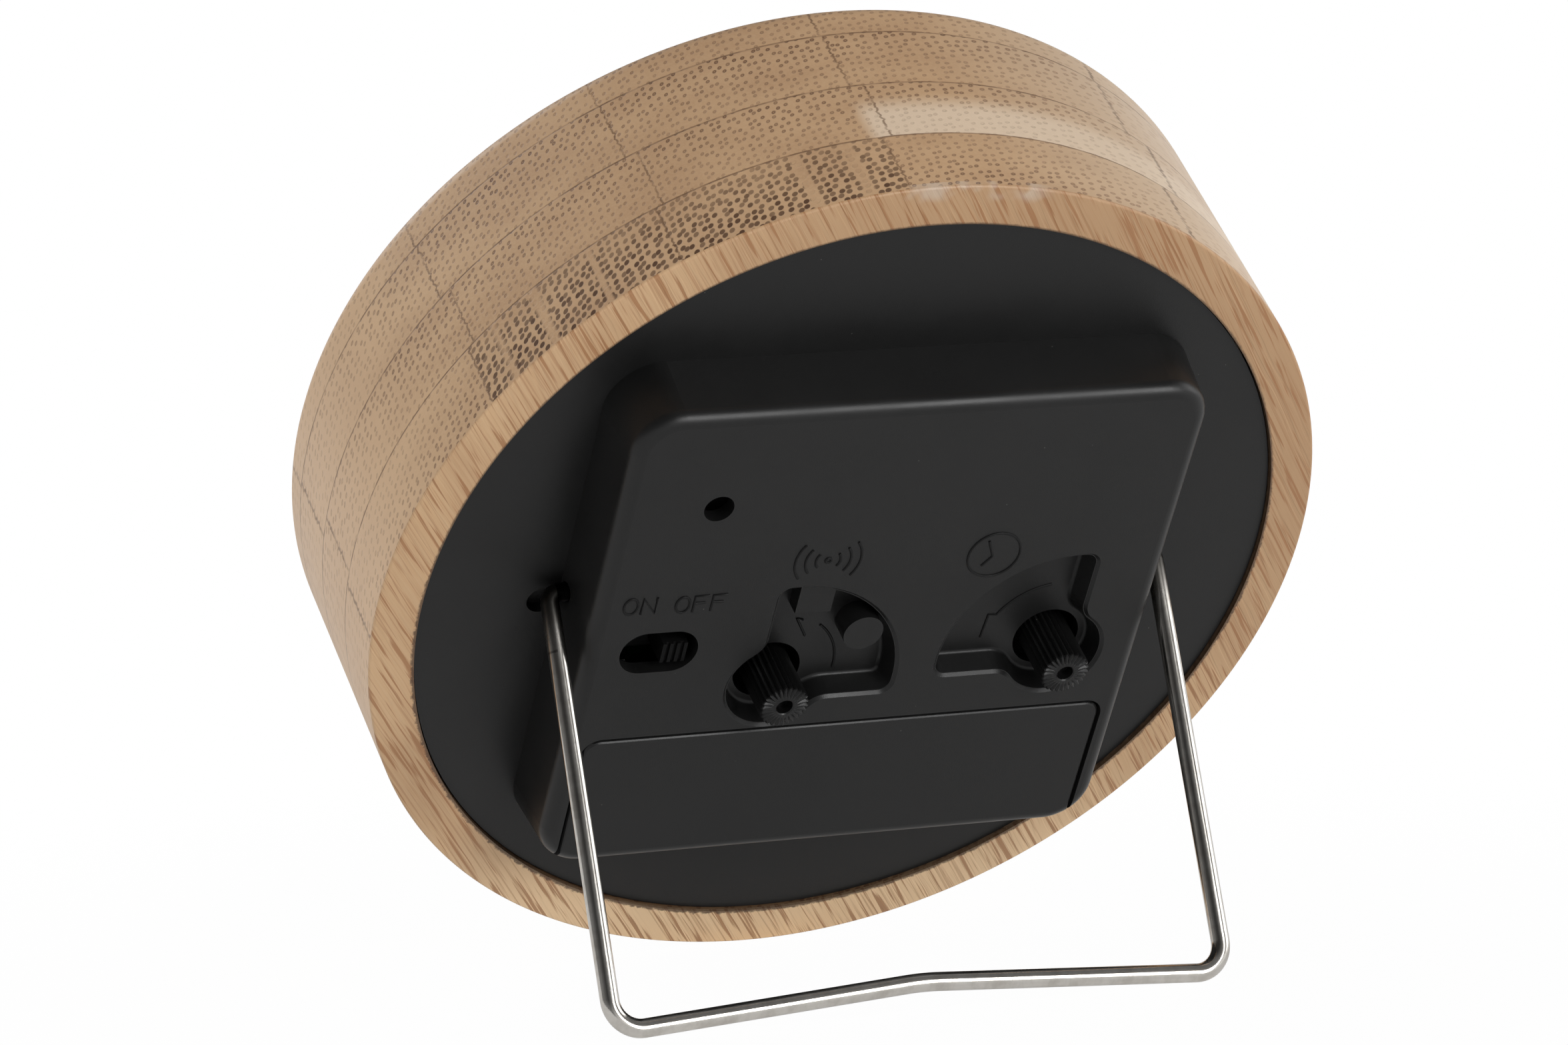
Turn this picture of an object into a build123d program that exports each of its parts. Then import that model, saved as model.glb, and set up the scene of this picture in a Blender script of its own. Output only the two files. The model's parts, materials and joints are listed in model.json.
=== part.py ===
from build123d import *
import math
import os

# A round desk alarm clock: a laminated bamboo case, a black moulded back cover over a quartz alarm
# movement, and a folding wire stand. All sizes are millimetres and degrees.
# Modelling frame: x to the right as seen from behind, y up the back, z out of the back, with the
# origin on the dial axis at the case's rear rim. The last step leans the clock onto its stand.

# Fits
RUN_GAP = 0.1
SEAT_GAP = 0.15
DOOR_GAP = 0.3
CUT_OVERRUN = 1.0

# Dry cell and its pocket
CELL_LENGTH = 50.5
CELL_DIAMETER = 14.5
CELL_NUB_DIAMETER = 5.5
CELL_NUB_HEIGHT = 1.0
CELL_EDGE_ROUND = 0.6
CELL_SIDE_ROOM = 0.7
CELL_END_ROOM = 2.4
CELL_COVER_ROOM = 0.2
POCKET_WALL = 1.2
CONTACT_THICKNESS = 0.4
CONTACT_WIDTH = 8.0
CONTACT_HEIGHT = 11.0
CONTACT_SPRING_RISE = 7.0

# Back cover: disc, skirt and the housing that stands out of it
COVER_THICKNESS = 2.2
COVER_INSET = 0.5
SKIRT_WALL = 1.6
HOUSING_WALL = 1.6
HOUSING_RISE = 7.7
HOUSING_TOP_ROOM = 1.8
HOUSING_SIDE_MARGIN = 3.4
HOUSING_BOTTOM_MARGIN = 1.85
HOUSING_CORNER = 5.5
HOUSING_DRAFT = 6.0
HOUSING_EDGE_ROUND = 1.5
DOOR_SIDE_LIP = 0.75
DOOR_CORNER = 2.0
DOOR_FLOOR_GAP = 0.8
DOOR_CATCH_WIDTH = 2.4
DOOR_CATCH_REACH = 0.8
DOOR_CATCH_THICKNESS = 0.7
DOOR_CATCH_ROOT = 1.0
DOOR_EDGE_CHAMFER = 0.25
DOOR_EDGE_ANGLE = 45.0

# Controls on the back
ALARM_AXIS_X = -9.2
ALARM_AXIS_Y = -6.7
TIME_AXIS_X = 21.0
TIME_AXIS_Y = -5.1
FAN_RADIUS = 12.9
FAN_EDGE_OFFSET = 1.9
FAN_DEPTH = 2.6
FAN_DRAFT = 14.0
FAN_WALL = 1.3
FAN_EDGE_CHAMFER = 0.3
FAN_EDGE_ANGLE = 45.0
FAN_CORNER_ROUND = 1.3
FAN_BLEND_ROUND = 2.6
FAN_FLOOR_ROUND = 0.4
KNOB_WELL_RADIUS = 5.1
KNOB_HOLE_RADIUS = 3.55
KNOB_RADIUS = 2.6
KNOB_PROUD = 3.2
KNOB_LENGTH = 9.0
KNOB_TEETH = 26
KNOB_GROOVE = 0.32
KNOB_TIP_HOLE_RADIUS = 0.85
KNOB_TIP_HOLE_DEPTH = 1.2
PEG_RADIUS = 2.1
PEG_OFFSET_X = 8.2
PEG_OFFSET_Y = 6.3
PAD_OFFSET_X = 2.5
PAD_OFFSET_Y = 8.8
PAD_WIDTH = 3.8
PAD_DROP = 0.9
SWITCH_BOARD_OFFSET = -3.4
SWITCH_Y = -0.9
SWITCH_SLOT_LENGTH = 8.2
SWITCH_SLOT_HEIGHT = 5.2
SWITCH_TRAVEL = 3.6
SWITCH_THUMB_WIDTH = 2.6
SWITCH_THUMB_HEIGHT = 2.4
SWITCH_THUMB_DROP = 0.5
SWITCH_THUMB_SINK = 0.35
SWITCH_RIB_COUNT = 4
SWITCH_RIB_DEPTH = 0.3
SWITCH_STEM_WIDTH = 1.6
SWITCH_STEM_HEIGHT = 1.4
SWITCH_BODY_LENGTH = 10.5
SWITCH_BODY_HEIGHT = 5.4
SWITCH_BODY_RISE = 3.0
SWITCH_BODY_FLOOR = 1.0
SWITCH_SIDE_ROOM = 0.1
SOUND_HOLE_BOARD_OFFSET = -0.8
SOUND_HOLE_Y = 17.4
SOUND_HOLE_RADIUS = 1.55

# Wire stand
WIRE_DIAMETER = 1.9
STAND_SIDE_ROOM = 1.7
STAND_LEG = 43.9
STAND_ANGLE = 55.5
STAND_FOOT_ARCH = 2.0
STAND_CORNER_BEND = 3.0
STAND_PIN_INNER_BEND = 0.25
STAND_FOOT_BEND = 30.0
STAND_AXIS_Y = 2.1
STAND_AXIS_RISE = 1.2
STAND_BOSS_RADIUS = 2.2
STAND_BOSS_LENGTH = 1.4
STAND_WELL_RADIUS = 1.5
STAND_WELL_DEPTH = 1.3
STAND_WELL_DROP = 2.0

# Bamboo case, sized round the housing's corners
COVER_MARGIN = 4.57
RIM_WIDTH = 4.6
REBATE_LEDGE = 2.0
LIP_WIDTH = 2.6
LIP_THICKNESS = 3.0
LIP_ROUND = 0.8
CASE_FRONT_ROUND = 2.4
CASE_REAR_ROUND = 0.3

# Front stack
LENS_THICKNESS = 2.0
DIAL_RING_HEIGHT = 7.4
DIAL_RING_WIDTH = 2.6
DIAL_RING_SLOPE = 1.6
DIAL_THICKNESS = 0.8
POST_RADIUS = 4.0
POST_RISE = 2.2
NUT_RADIUS = 5.6
NUT_THICKNESS = 1.4
NUT_SIDES = 6

# Hands: tube radii from the outside in, and the hands that sit on them
ALARM_TUBE_RADIUS = 3.2
HOUR_TUBE_RADIUS = 2.5
MINUTE_TUBE_RADIUS = 1.7
SECOND_ARBOR_RADIUS = 0.6
HAND_THICKNESS = 0.5
HAND_STEP = 1.2
HAND_HUB_RIM = 1.0
HOUR_HAND_LENGTH = 22.0
HOUR_HAND_WIDTH = 3.0
MINUTE_HAND_LENGTH = 32.0
MINUTE_HAND_WIDTH = 2.4
SECOND_HAND_LENGTH = 34.0
SECOND_HAND_WIDTH = 0.9
SECOND_HAND_TAIL = 10.0
ALARM_HAND_LENGTH = 17.0
ALARM_HAND_WIDTH = 1.4
ALARM_HAND_HEAD = 3.6
HOUR_HAND_ANGLE = 304.8
MINUTE_HAND_ANGLE = 57.6
SECOND_HAND_ANGLE = 216.0
ALARM_HAND_ANGLE = 195.0

# Movement: two plates with the wheels between them
PLATE_SIDE_ROOM = 0.78
PLATE_TOP_ROOM = 1.42
PLATE_BOTTOM_ROOM = 0.11
PLATE_HOUSING_ROOM = 1.6
PLATE_CORNER = 2.5
PLATE_GAP = 0.4
TRAY_FLOOR = 1.8
TRAY_WALL = 0.8
LID_THICKNESS = 1.6
LID_SINK = 1.0
WHEEL_HEADROOM = 0.95
SCREW_RADIUS = 1.0
SCREW_HEAD_RADIUS = 1.9
SCREW_HEAD_HEIGHT = 1.2
SCREW_SLOT_WIDTH = 0.5
SCREW_SLOT_DEPTH = 0.6
SCREW_BOSS_RADIUS = 2.3
SCREW_DEPTH = 6.0
SCREW_RIGHT_Y = 5.0

# Wheels: tooth counts, and modules that follow from the distances between axes
PRESSURE_ANGLE = 20.0
ADDENDUM_SHARE = 0.72
DEDENDUM_SHARE = 1.05
TOOTH_FILL_SHARE = 0.8
WHEEL_LEVEL_COUNT = 7
WHEEL_THICKNESS = 1.2
LEVEL_PITCH = 1.6
ARBOR_RADIUS = 0.6
SETTING_ARBOR_RADIUS = 1.1
ALARM_GEAR_TEETH = 12
ALARM_WHEEL_TEETH = 40
CANNON_TEETH = 12
MOTION_WHEEL_TEETH = 36
MOTION_PINION_TEETH = 10
TIME_GEAR_TEETH = 16
SETTING_SPREAD_SHARE = 1.04
HOUR_WHEEL_TEETH = 40
CENTRE_WHEEL_TEETH = 64
THIRD_PINION_TEETH = 8
THIRD_WHEEL_TEETH = 60
SECOND_PINION_TEETH = 8
SECOND_WHEEL_TEETH = 60
INTER_PINION_TEETH = 12
INTER_WHEEL_TEETH = 48
ROTOR_PINION_TEETH = 8
THIRD_AXIS_REACH = 10.2
THIRD_AXIS_ANGLE = 75.0
INTER_AXIS_REACH = 10.8
INTER_AXIS_ANGLE = 150.0
ROTOR_AXIS_REACH = 7.0
ROTOR_AXIS_ANGLE = 110.0

# Stepping motor
MAGNET_RADIUS = 2.9
MAGNET_HEIGHT = 2.4
STATOR_GAP = 0.5
STATOR_THICKNESS = 1.0
STATOR_COLLAR = 1.2
STATOR_ARM = 2.6
CORE_WIDTH = 3.0
COIL_LENGTH = 11.0
COIL_RADIUS = 3.0
COIL_OFFSET = 8.6
BOBBIN_FLANGE = 0.9
BOBBIN_FLANGE_RIM = 0.7
BOBBIN_WALL = 0.4

# Circuit board and what it carries
BOARD_THICKNESS = 1.0
BOARD_WIDTH = 14.0
BOARD_BOTTOM = -7.5
BOARD_TOP_ROOM = 1.5
BOARD_SIDE_ROOM = 0.2
BUZZER_RADIUS = 5.6
BUZZER_HEIGHT = 3.8
BUZZER_PORT_RADIUS = 1.0
BUZZER_PORT_DEPTH = 0.8
CHIP_RADIUS = 2.6
CHIP_HEIGHT = 1.0
CRYSTAL_RADIUS = 1.0
CRYSTAL_LENGTH = 6.0
LEAF_THICKNESS = 0.3
LEAF_WIDTH = 2.6
LEAF_LENGTH = 9.0
LEAF_X = -16.0
LEAF_Y = -3.0

def polar(distance, bearing, start=(0, 0)):
    """Point at a distance and bearing from a start point."""
    angle = math.radians(bearing)
    return (start[0] + distance * math.cos(angle), start[1] + distance * math.sin(angle))


def bearing_of(axis, start=(0, 0)):
    """Bearing of an axis from a start point, in degrees."""
    return math.degrees(math.atan2(axis[1] - start[1], axis[0] - start[0]))


def distance_of(axis, start=(0, 0)):
    """Distance of an axis from a start point."""
    return math.hypot(axis[0] - start[0], axis[1] - start[1])


def between(far_axis, near_reach, far_reach):
    """Axis above the line to a far axis, at given distances from the dial axis and from the far axis."""
    span = distance_of(far_axis)
    along = (near_reach**2 - far_reach**2 + span**2) / (2 * span)
    aside = math.sqrt(near_reach**2 - along**2)
    return polar(aside, bearing_of(far_axis) + 90, polar(along, bearing_of(far_axis)))


def tip_reach(teeth, module):
    """Radius of a wheel over its teeth."""
    return module * (teeth / 2 + ADDENDUM_SHARE)


# Axes and modules of the wheels
alarm_axis = (ALARM_AXIS_X, ALARM_AXIS_Y)
time_axis = (TIME_AXIS_X, TIME_AXIS_Y)
setting_teeth = CANNON_TEETH + 2 * MOTION_WHEEL_TEETH + TIME_GEAR_TEETH
motion_module = SETTING_SPREAD_SHARE * 2 * distance_of(time_axis) / setting_teeth
motion_reach = motion_module * (CANNON_TEETH + MOTION_WHEEL_TEETH) / 2
setting_reach = motion_module * (MOTION_WHEEL_TEETH + TIME_GEAR_TEETH) / 2
motion_axis = between(time_axis, motion_reach, setting_reach)
third_axis = polar(THIRD_AXIS_REACH, THIRD_AXIS_ANGLE)
inter_axis = polar(INTER_AXIS_REACH, INTER_AXIS_ANGLE)
rotor_axis = polar(ROTOR_AXIS_REACH, ROTOR_AXIS_ANGLE, inter_axis)
coil_y = rotor_axis[1] + COIL_OFFSET
alarm_module = 2 * distance_of(alarm_axis) / (ALARM_GEAR_TEETH + ALARM_WHEEL_TEETH)
hour_module = 2 * distance_of(motion_axis) / (MOTION_PINION_TEETH + HOUR_WHEEL_TEETH)
centre_module = 2 * THIRD_AXIS_REACH / (THIRD_PINION_TEETH + CENTRE_WHEEL_TEETH)
third_module = 2 * THIRD_AXIS_REACH / (SECOND_PINION_TEETH + THIRD_WHEEL_TEETH)
second_module = 2 * INTER_AXIS_REACH / (INTER_PINION_TEETH + SECOND_WHEEL_TEETH)
rotor_module = 2 * ROTOR_AXIS_REACH / (ROTOR_PINION_TEETH + INTER_WHEEL_TEETH)

# Plan of the movement: its plates close round the setting gears and the coil
time_tip = tip_reach(TIME_GEAR_TEETH, motion_module)
alarm_tip = tip_reach(ALARM_GEAR_TEETH, alarm_module)
lowest_tip = min(ALARM_AXIS_Y - alarm_tip, TIME_AXIS_Y - time_tip)
plate_half_width = TIME_AXIS_X + time_tip + TRAY_WALL + PLATE_SIDE_ROOM
plate_top = coil_y + COIL_RADIUS + BOBBIN_FLANGE_RIM + TRAY_WALL + PLATE_TOP_ROOM
plate_bottom = lowest_tip - TRAY_WALL - PLATE_BOTTOM_ROOM
plate_height = plate_top - plate_bottom
plate_mid_y = (plate_top + plate_bottom) / 2
board_left = BOARD_SIDE_ROOM - plate_half_width
board_mid_x = board_left + BOARD_WIDTH / 2
board_top = plate_top - BOARD_TOP_ROOM
switch_x = board_mid_x + SWITCH_BOARD_OFFSET
sound_hole = (board_mid_x + SOUND_HOLE_BOARD_OFFSET, SOUND_HOLE_Y)

# Heights of the cover and the battery pocket
cover_face_z = -COVER_INSET
cover_inner_z = cover_face_z - COVER_THICKNESS
back_z = cover_face_z + HOUSING_RISE
back_inner_z = back_z - HOUSING_WALL
pocket_half_length = CELL_LENGTH / 2 + CELL_END_ROOM
pocket_top = plate_bottom - PLATE_GAP - POCKET_WALL
cell_y = pocket_top - CELL_SIDE_ROOM - CELL_DIAMETER / 2
pocket_bottom = cell_y - CELL_DIAMETER / 2 - CELL_SIDE_ROOM
cell_z = back_inner_z - CELL_COVER_ROOM - CELL_DIAMETER / 2
pocket_floor_z = cell_z - CELL_DIAMETER / 2 - CELL_SIDE_ROOM

# Plan of the housing, which covers the cell, the movement and the switch, and of the stand beside it
housing_over_cell = pocket_half_length + HOUSING_SIDE_MARGIN
housing_over_plates = plate_half_width + PLATE_HOUSING_ROOM + HOUSING_WALL
housing_over_switch = SWITCH_BODY_LENGTH / 2 - switch_x + SWITCH_SIDE_ROOM + STAND_BOSS_LENGTH + HOUSING_WALL
housing_half_width = max(housing_over_cell, housing_over_plates, housing_over_switch)
housing_top = plate_top + HOUSING_TOP_ROOM + HOUSING_WALL
housing_bottom = pocket_bottom - HOUSING_BOTTOM_MARGIN
housing_height = housing_top - housing_bottom
housing_mid_y = (housing_top + housing_bottom) / 2
door_half_width = pocket_half_length + DOOR_SIDE_LIP
stand_axis_z = cover_face_z + STAND_AXIS_RISE
stand_half_width = housing_half_width + STAND_SIDE_ROOM
wire_radius = WIRE_DIAMETER / 2

# Radii of the case, sized round the housing's corners
corner_x = housing_half_width - HOUSING_CORNER
corner_y = max(housing_top, -housing_bottom) - HOUSING_CORNER
housing_reach = math.hypot(corner_x, corner_y) + HOUSING_CORNER
rebate_radius = housing_reach + COVER_MARGIN
case_radius = rebate_radius + RIM_WIDTH
bore_radius = rebate_radius - REBATE_LEDGE
lip_radius = bore_radius - LIP_WIDTH
stack_radius = bore_radius - SEAT_GAP

# Heights of the movement and of the front stack, counted from the back; they set the case's depth
lid_z = -LID_SINK
lid_inner_z = lid_z - LID_THICKNESS
board_top_z = lid_z + BOARD_THICKNESS
wheel_room = RUN_GAP + SEAT_GAP + WHEEL_LEVEL_COUNT * LEVEL_PITCH + WHEEL_HEADROOM
tray_floor_z = lid_inner_z - wheel_room
dial_rear_z = tray_floor_z - TRAY_FLOOR
dial_front_z = dial_rear_z - DIAL_THICKNESS
lens_rear_z = dial_front_z - DIAL_RING_HEIGHT
lens_front_z = lens_rear_z - LENS_THICKNESS
case_front_z = lens_front_z - LIP_THICKNESS


def level_z(level):
    """Low face of the wheels at a level, counted from the tray's floor towards the back."""
    return tray_floor_z + RUN_GAP + SEAT_GAP + level * LEVEL_PITCH


LEVELS = range(WHEEL_LEVEL_COUNT)
ALARM_LEVEL, HOUR_LEVEL, CANNON_LEVEL, CENTRE_LEVEL, THIRD_LEVEL, SECOND_LEVEL, INTER_LEVEL = LEVELS


def post(radius, z_low, z_high, place=(0, 0)):
    """Round bar along the dial axis direction between two heights."""
    bar = Cylinder(radius, z_high - z_low, align=(Align.CENTER, Align.CENTER, Align.MIN))
    return Pos(place[0], place[1], z_low) * bar


def tube(radius, bore, z_low, z_high, place=(0, 0)):
    """Round bar with a bore right through it."""
    hole = post(bore, z_low - CUT_OVERRUN, z_high + CUT_OVERRUN, place)
    return post(radius, z_low, z_high, place) - hole


def block(x_low, x_high, y_low, y_high, z_low, z_high):
    """Box between two corners."""
    box = Box(x_high - x_low, y_high - y_low, z_high - z_low, align=(Align.MIN, Align.MIN, Align.MIN))
    return Pos(x_low, y_low, z_low) * box


def prism(sketch, z_low, z_high, taper=0.0):
    """Sketch raised between two heights, drawing in by the taper."""
    return extrude(Pos(0, 0, z_low) * sketch, amount=z_high - z_low, taper=taper)


def sunk(sketch, z_top, depth, taper=0.0):
    """Sketch sunk from a height downwards, drawing in by the taper."""
    return extrude(Pos(0, 0, z_top) * sketch, amount=depth, dir=(0, 0, -1), taper=taper)


# Case and front


def make_case():
    """Turned bamboo ring with a front lip and a rear rebate for the cover."""
    ring = post(case_radius, case_front_z, 0)
    front_edge = ring.edges().group_by(Axis.Z)[0]
    ring = fillet(front_edge, CASE_FRONT_ROUND)
    rear_edge = ring.edges().group_by(Axis.Z)[-1]
    ring = fillet(rear_edge, CASE_REAR_ROUND)
    ring -= post(rebate_radius, cover_inner_z, CUT_OVERRUN)
    ring -= post(bore_radius, lens_front_z, CUT_OVERRUN)
    opening = post(lip_radius, case_front_z - CUT_OVERRUN, CUT_OVERRUN)
    ring -= opening
    lip_edge = ring.edges().filter_by(GeomType.CIRCLE).group_by(Axis.Z)[0].sort_by(SortBy.RADIUS)[0]
    return fillet(lip_edge, LIP_ROUND)


def make_lens():
    """Flat clear lens, dropped in from behind against the lip."""
    return post(stack_radius, lens_front_z, lens_rear_z)


def make_dial_ring():
    """Sloped ring that keeps the lens clear of the hands."""
    inner_rear = stack_radius - DIAL_RING_WIDTH
    inner_front = inner_rear + DIAL_RING_SLOPE
    section = Polyline(
        (inner_rear, dial_front_z),
        (stack_radius, dial_front_z),
        (stack_radius, lens_rear_z),
        (inner_front, lens_rear_z),
        close=True,
    )
    return revolve(Plane.XZ * make_face(section), axis=Axis.Z)


def make_dial():
    """Dial disc with a hole for the movement's post."""
    return tube(stack_radius, POST_RADIUS + SEAT_GAP, dial_front_z, dial_rear_z)


def make_dial_nut():
    """Nut that clamps the dial to the movement."""
    hexagon = RegularPolygon(NUT_RADIUS, NUT_SIDES) - Circle(POST_RADIUS + SEAT_GAP)
    return prism(hexagon, dial_front_z - NUT_THICKNESS, dial_front_z)


# Back cover


def housing_plan(inset=0.0):
    """Rounded outline of the housing at the cover's face, drawn in by an inset."""
    width = 2 * (housing_half_width - inset)
    outline = RectangleRounded(width, housing_height - 2 * inset, HOUSING_CORNER - inset)
    return Pos(0, housing_mid_y) * outline


def housing_block():
    """Outside of the housing, with its draft and rounded back edge."""
    dome = prism(housing_plan(), cover_face_z, back_z, HOUSING_DRAFT)
    return fillet(dome.faces().sort_by(Axis.Z)[-1].edges(), HOUSING_EDGE_ROUND)


def housing_hollow():
    """Inside of the housing, open through the cover's disc."""
    hollow = prism(housing_plan(HOUSING_WALL), cover_face_z, back_inner_z, HOUSING_DRAFT)
    return hollow + prism(housing_plan(HOUSING_WALL), cover_inner_z - CUT_OVERRUN, cover_face_z)


def door_plan(gap=0.0):
    """Outline of the battery door, drawn past the housing's lower edge."""
    width = 2 * (door_half_width - gap)
    bottom = housing_bottom - CUT_OVERRUN - DOOR_CORNER
    height = pocket_top - gap - bottom
    return Pos(0, bottom + height / 2) * RectangleRounded(width, height, DOOR_CORNER - gap)


def door_opening():
    """Upright prism that opens the housing for the battery door."""
    return prism(door_plan(), cover_face_z, back_z + CUT_OVERRUN)


def door_prism():
    """Upright prism over the door itself, with its outer edge broken."""
    plan = door_plan(DOOR_GAP)
    edge_z = back_z - DOOR_EDGE_CHAMFER
    side_faces = prism(plan, cover_face_z + DOOR_FLOOR_GAP, edge_z)
    return side_faces + prism(plan, edge_z, back_z, DOOR_EDGE_ANGLE)


def fan_plan(axis, side):
    """Finger recess round a knob: a round well and a quarter fan on one side of it."""
    reach = FAN_RADIUS + FAN_EDGE_OFFSET
    corner_shift = reach / 2 - FAN_EDGE_OFFSET
    quarter = Pos(side * corner_shift, corner_shift) * Rectangle(reach, reach)
    fan = (Circle(FAN_RADIUS) & quarter) + Circle(KNOB_WELL_RADIUS)
    fan = fillet(fan.vertices().sort_by_distance((0, 0))[:2], FAN_BLEND_ROUND)
    fan = fillet(fan.vertices().sort_by_distance((0, 0))[-2:], FAN_CORNER_ROUND)
    return Pos(*axis) * fan


def fan_hollow(axis, side):
    """Finger recess itself, with drawn-in walls and a rounded edge along its floor."""
    hollow = sunk(fan_plan(axis, side), back_z, FAN_DEPTH, FAN_DRAFT)
    floor = hollow.faces().sort_by(Axis.Z)[0]
    return fillet(floor.edges(), FAN_FLOOR_ROUND)


def fan_bevel(axis, side):
    """Broken edge along the rim of a finger recess."""
    return sunk(offset(fan_plan(axis, side), FAN_EDGE_CHAMFER), back_z, FAN_EDGE_CHAMFER, FAN_EDGE_ANGLE)


def fan_cup(axis, side):
    """Wall and floor under a finger recess, kept clear of the battery door."""
    plan = offset(fan_plan(axis, side), FAN_WALL)
    room = Rectangle(2 * housing_half_width, housing_top - pocket_top)
    keep = Pos(0, (housing_top + pocket_top) / 2) * room
    return prism(plan & keep, back_z - FAN_DEPTH - FAN_WALL, back_inner_z)


def pocket_walls():
    """Battery pocket: a trough under the disc, with end walls and a top wall up to the back."""
    low = block(
        -pocket_half_length - POCKET_WALL,
        pocket_half_length + POCKET_WALL,
        pocket_bottom - POCKET_WALL,
        pocket_top + POCKET_WALL,
        pocket_floor_z - POCKET_WALL,
        cover_face_z,
    )
    high = block(
        -pocket_half_length - POCKET_WALL,
        pocket_half_length + POCKET_WALL,
        housing_bottom + HOUSING_CORNER + DOOR_GAP,
        pocket_top + POCKET_WALL,
        cover_face_z,
        back_inner_z - DOOR_GAP,
    )
    top_wall = block(
        -pocket_half_length - POCKET_WALL,
        pocket_half_length + POCKET_WALL,
        pocket_top,
        pocket_top + POCKET_WALL,
        cover_face_z,
        back_inner_z,
    )
    return low + high + top_wall


def pocket_hollow():
    """Space for the cell and its contacts."""
    return block(
        -pocket_half_length,
        pocket_half_length,
        pocket_bottom,
        pocket_top,
        pocket_floor_z,
        back_inner_z + CUT_OVERRUN,
    )


def contact_slot(side):
    """Way through the pocket's top wall for a contact's tail."""
    x = side * (pocket_half_length - CONTACT_THICKNESS / 2 - SEAT_GAP)
    half = CONTACT_THICKNESS / 2 + SEAT_GAP
    reach = CONTACT_WIDTH / 4 + SEAT_GAP
    return block(
        x - half,
        x + half,
        pocket_top - CUT_OVERRUN,
        pocket_top + POCKET_WALL + CUT_OVERRUN,
        cell_z - reach,
        cell_z + reach,
    )


def along_x(radius, x_from, x_to):
    """Round bar across the clock on the stand's axis."""
    bar = Cylinder(radius, abs(x_to - x_from))
    return Pos((x_from + x_to) / 2, STAND_AXIS_Y, stand_axis_z) * Rot(0, 90, 0) * bar


def stand_bearing(side):
    """Boss inside the housing's wall for one of the stand's pins."""
    wall_x = housing_half_width - HOUSING_WALL
    return along_x(STAND_BOSS_RADIUS, side * (wall_x - STAND_BOSS_LENGTH), side * (wall_x + HOUSING_WALL / 2))


def stand_bore(side):
    """Bore through the housing's wall and the boss."""
    inner = housing_half_width - HOUSING_WALL - STAND_BOSS_LENGTH - CUT_OVERRUN
    return along_x(wire_radius + RUN_GAP, side * inner, side * (housing_half_width + CUT_OVERRUN))


def make_rear_cover():
    """Disc with its skirt, the housing, battery pocket, finger recesses and stand bearings."""
    disc = post(rebate_radius - SEAT_GAP, cover_inner_z, cover_face_z)
    skirt = tube(stack_radius, stack_radius - SKIRT_WALL, dial_rear_z, cover_inner_z)
    cover = disc + skirt + housing_block() - housing_hollow()
    cover -= door_opening()
    cover += pocket_walls()
    cover -= pocket_hollow()
    for axis, side in ((alarm_axis, 1), (time_axis, -1)):
        cover += fan_cup(axis, side)
        cover -= fan_hollow(axis, side)
        cover -= fan_bevel(axis, side)
        cover -= post(KNOB_HOLE_RADIUS, lid_z, back_z, axis)
    cover -= catch_block(RUN_GAP)
    cover += alarm_fan_details()
    for side in (-1, 1):
        cover += stand_bearing(side)
        cover -= stand_bore(side)
        well = (side * stand_half_width, STAND_AXIS_Y - STAND_WELL_DROP)
        cover -= post(STAND_WELL_RADIUS, cover_face_z - STAND_WELL_DEPTH, cover_face_z + CUT_OVERRUN, well)
        cover -= contact_slot(side)
    slot = Pos(switch_x, SWITCH_Y) * SlotOverall(SWITCH_SLOT_LENGTH, SWITCH_SLOT_HEIGHT)
    cover -= prism(slot, back_inner_z - CUT_OVERRUN, back_z + CUT_OVERRUN)
    cover -= post(SOUND_HOLE_RADIUS, back_inner_z - CUT_OVERRUN, back_z + CUT_OVERRUN, sound_hole)
    return cover


def alarm_fan_details():
    """Round peg and raised pad moulded in the alarm knob's recess."""
    floor_z = back_z - FAN_DEPTH - FAN_WALL / 2
    peg = post(PEG_RADIUS, floor_z, back_z, (ALARM_AXIS_X + PEG_OFFSET_X, ALARM_AXIS_Y + PEG_OFFSET_Y))
    pad_x = ALARM_AXIS_X + PAD_OFFSET_X
    pad = block(
        pad_x - PAD_WIDTH / 2,
        pad_x + PAD_WIDTH / 2,
        ALARM_AXIS_Y + PAD_OFFSET_Y,
        ALARM_AXIS_Y + FAN_RADIUS,
        floor_z,
        back_z - PAD_DROP,
    )
    return peg + pad


def catch_block(gap=0.0):
    """Nub of the door's catch, or with a gap the notch for it in the wall above the door."""
    half = DOOR_CATCH_WIDTH / 2 + gap
    return block(
        -half,
        half,
        pocket_top - DOOR_CATCH_ROOT,
        pocket_top + DOOR_CATCH_REACH - DOOR_GAP + 2 * gap,
        back_inner_z + RUN_GAP - gap,
        back_inner_z + DOOR_CATCH_THICKNESS + gap,
    )


def make_battery_door():
    """Door over the cell, cut from the housing's own shell, with a small catch on its top edge."""
    door = (housing_block() & door_prism()) - housing_hollow()
    return door + catch_block()


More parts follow.
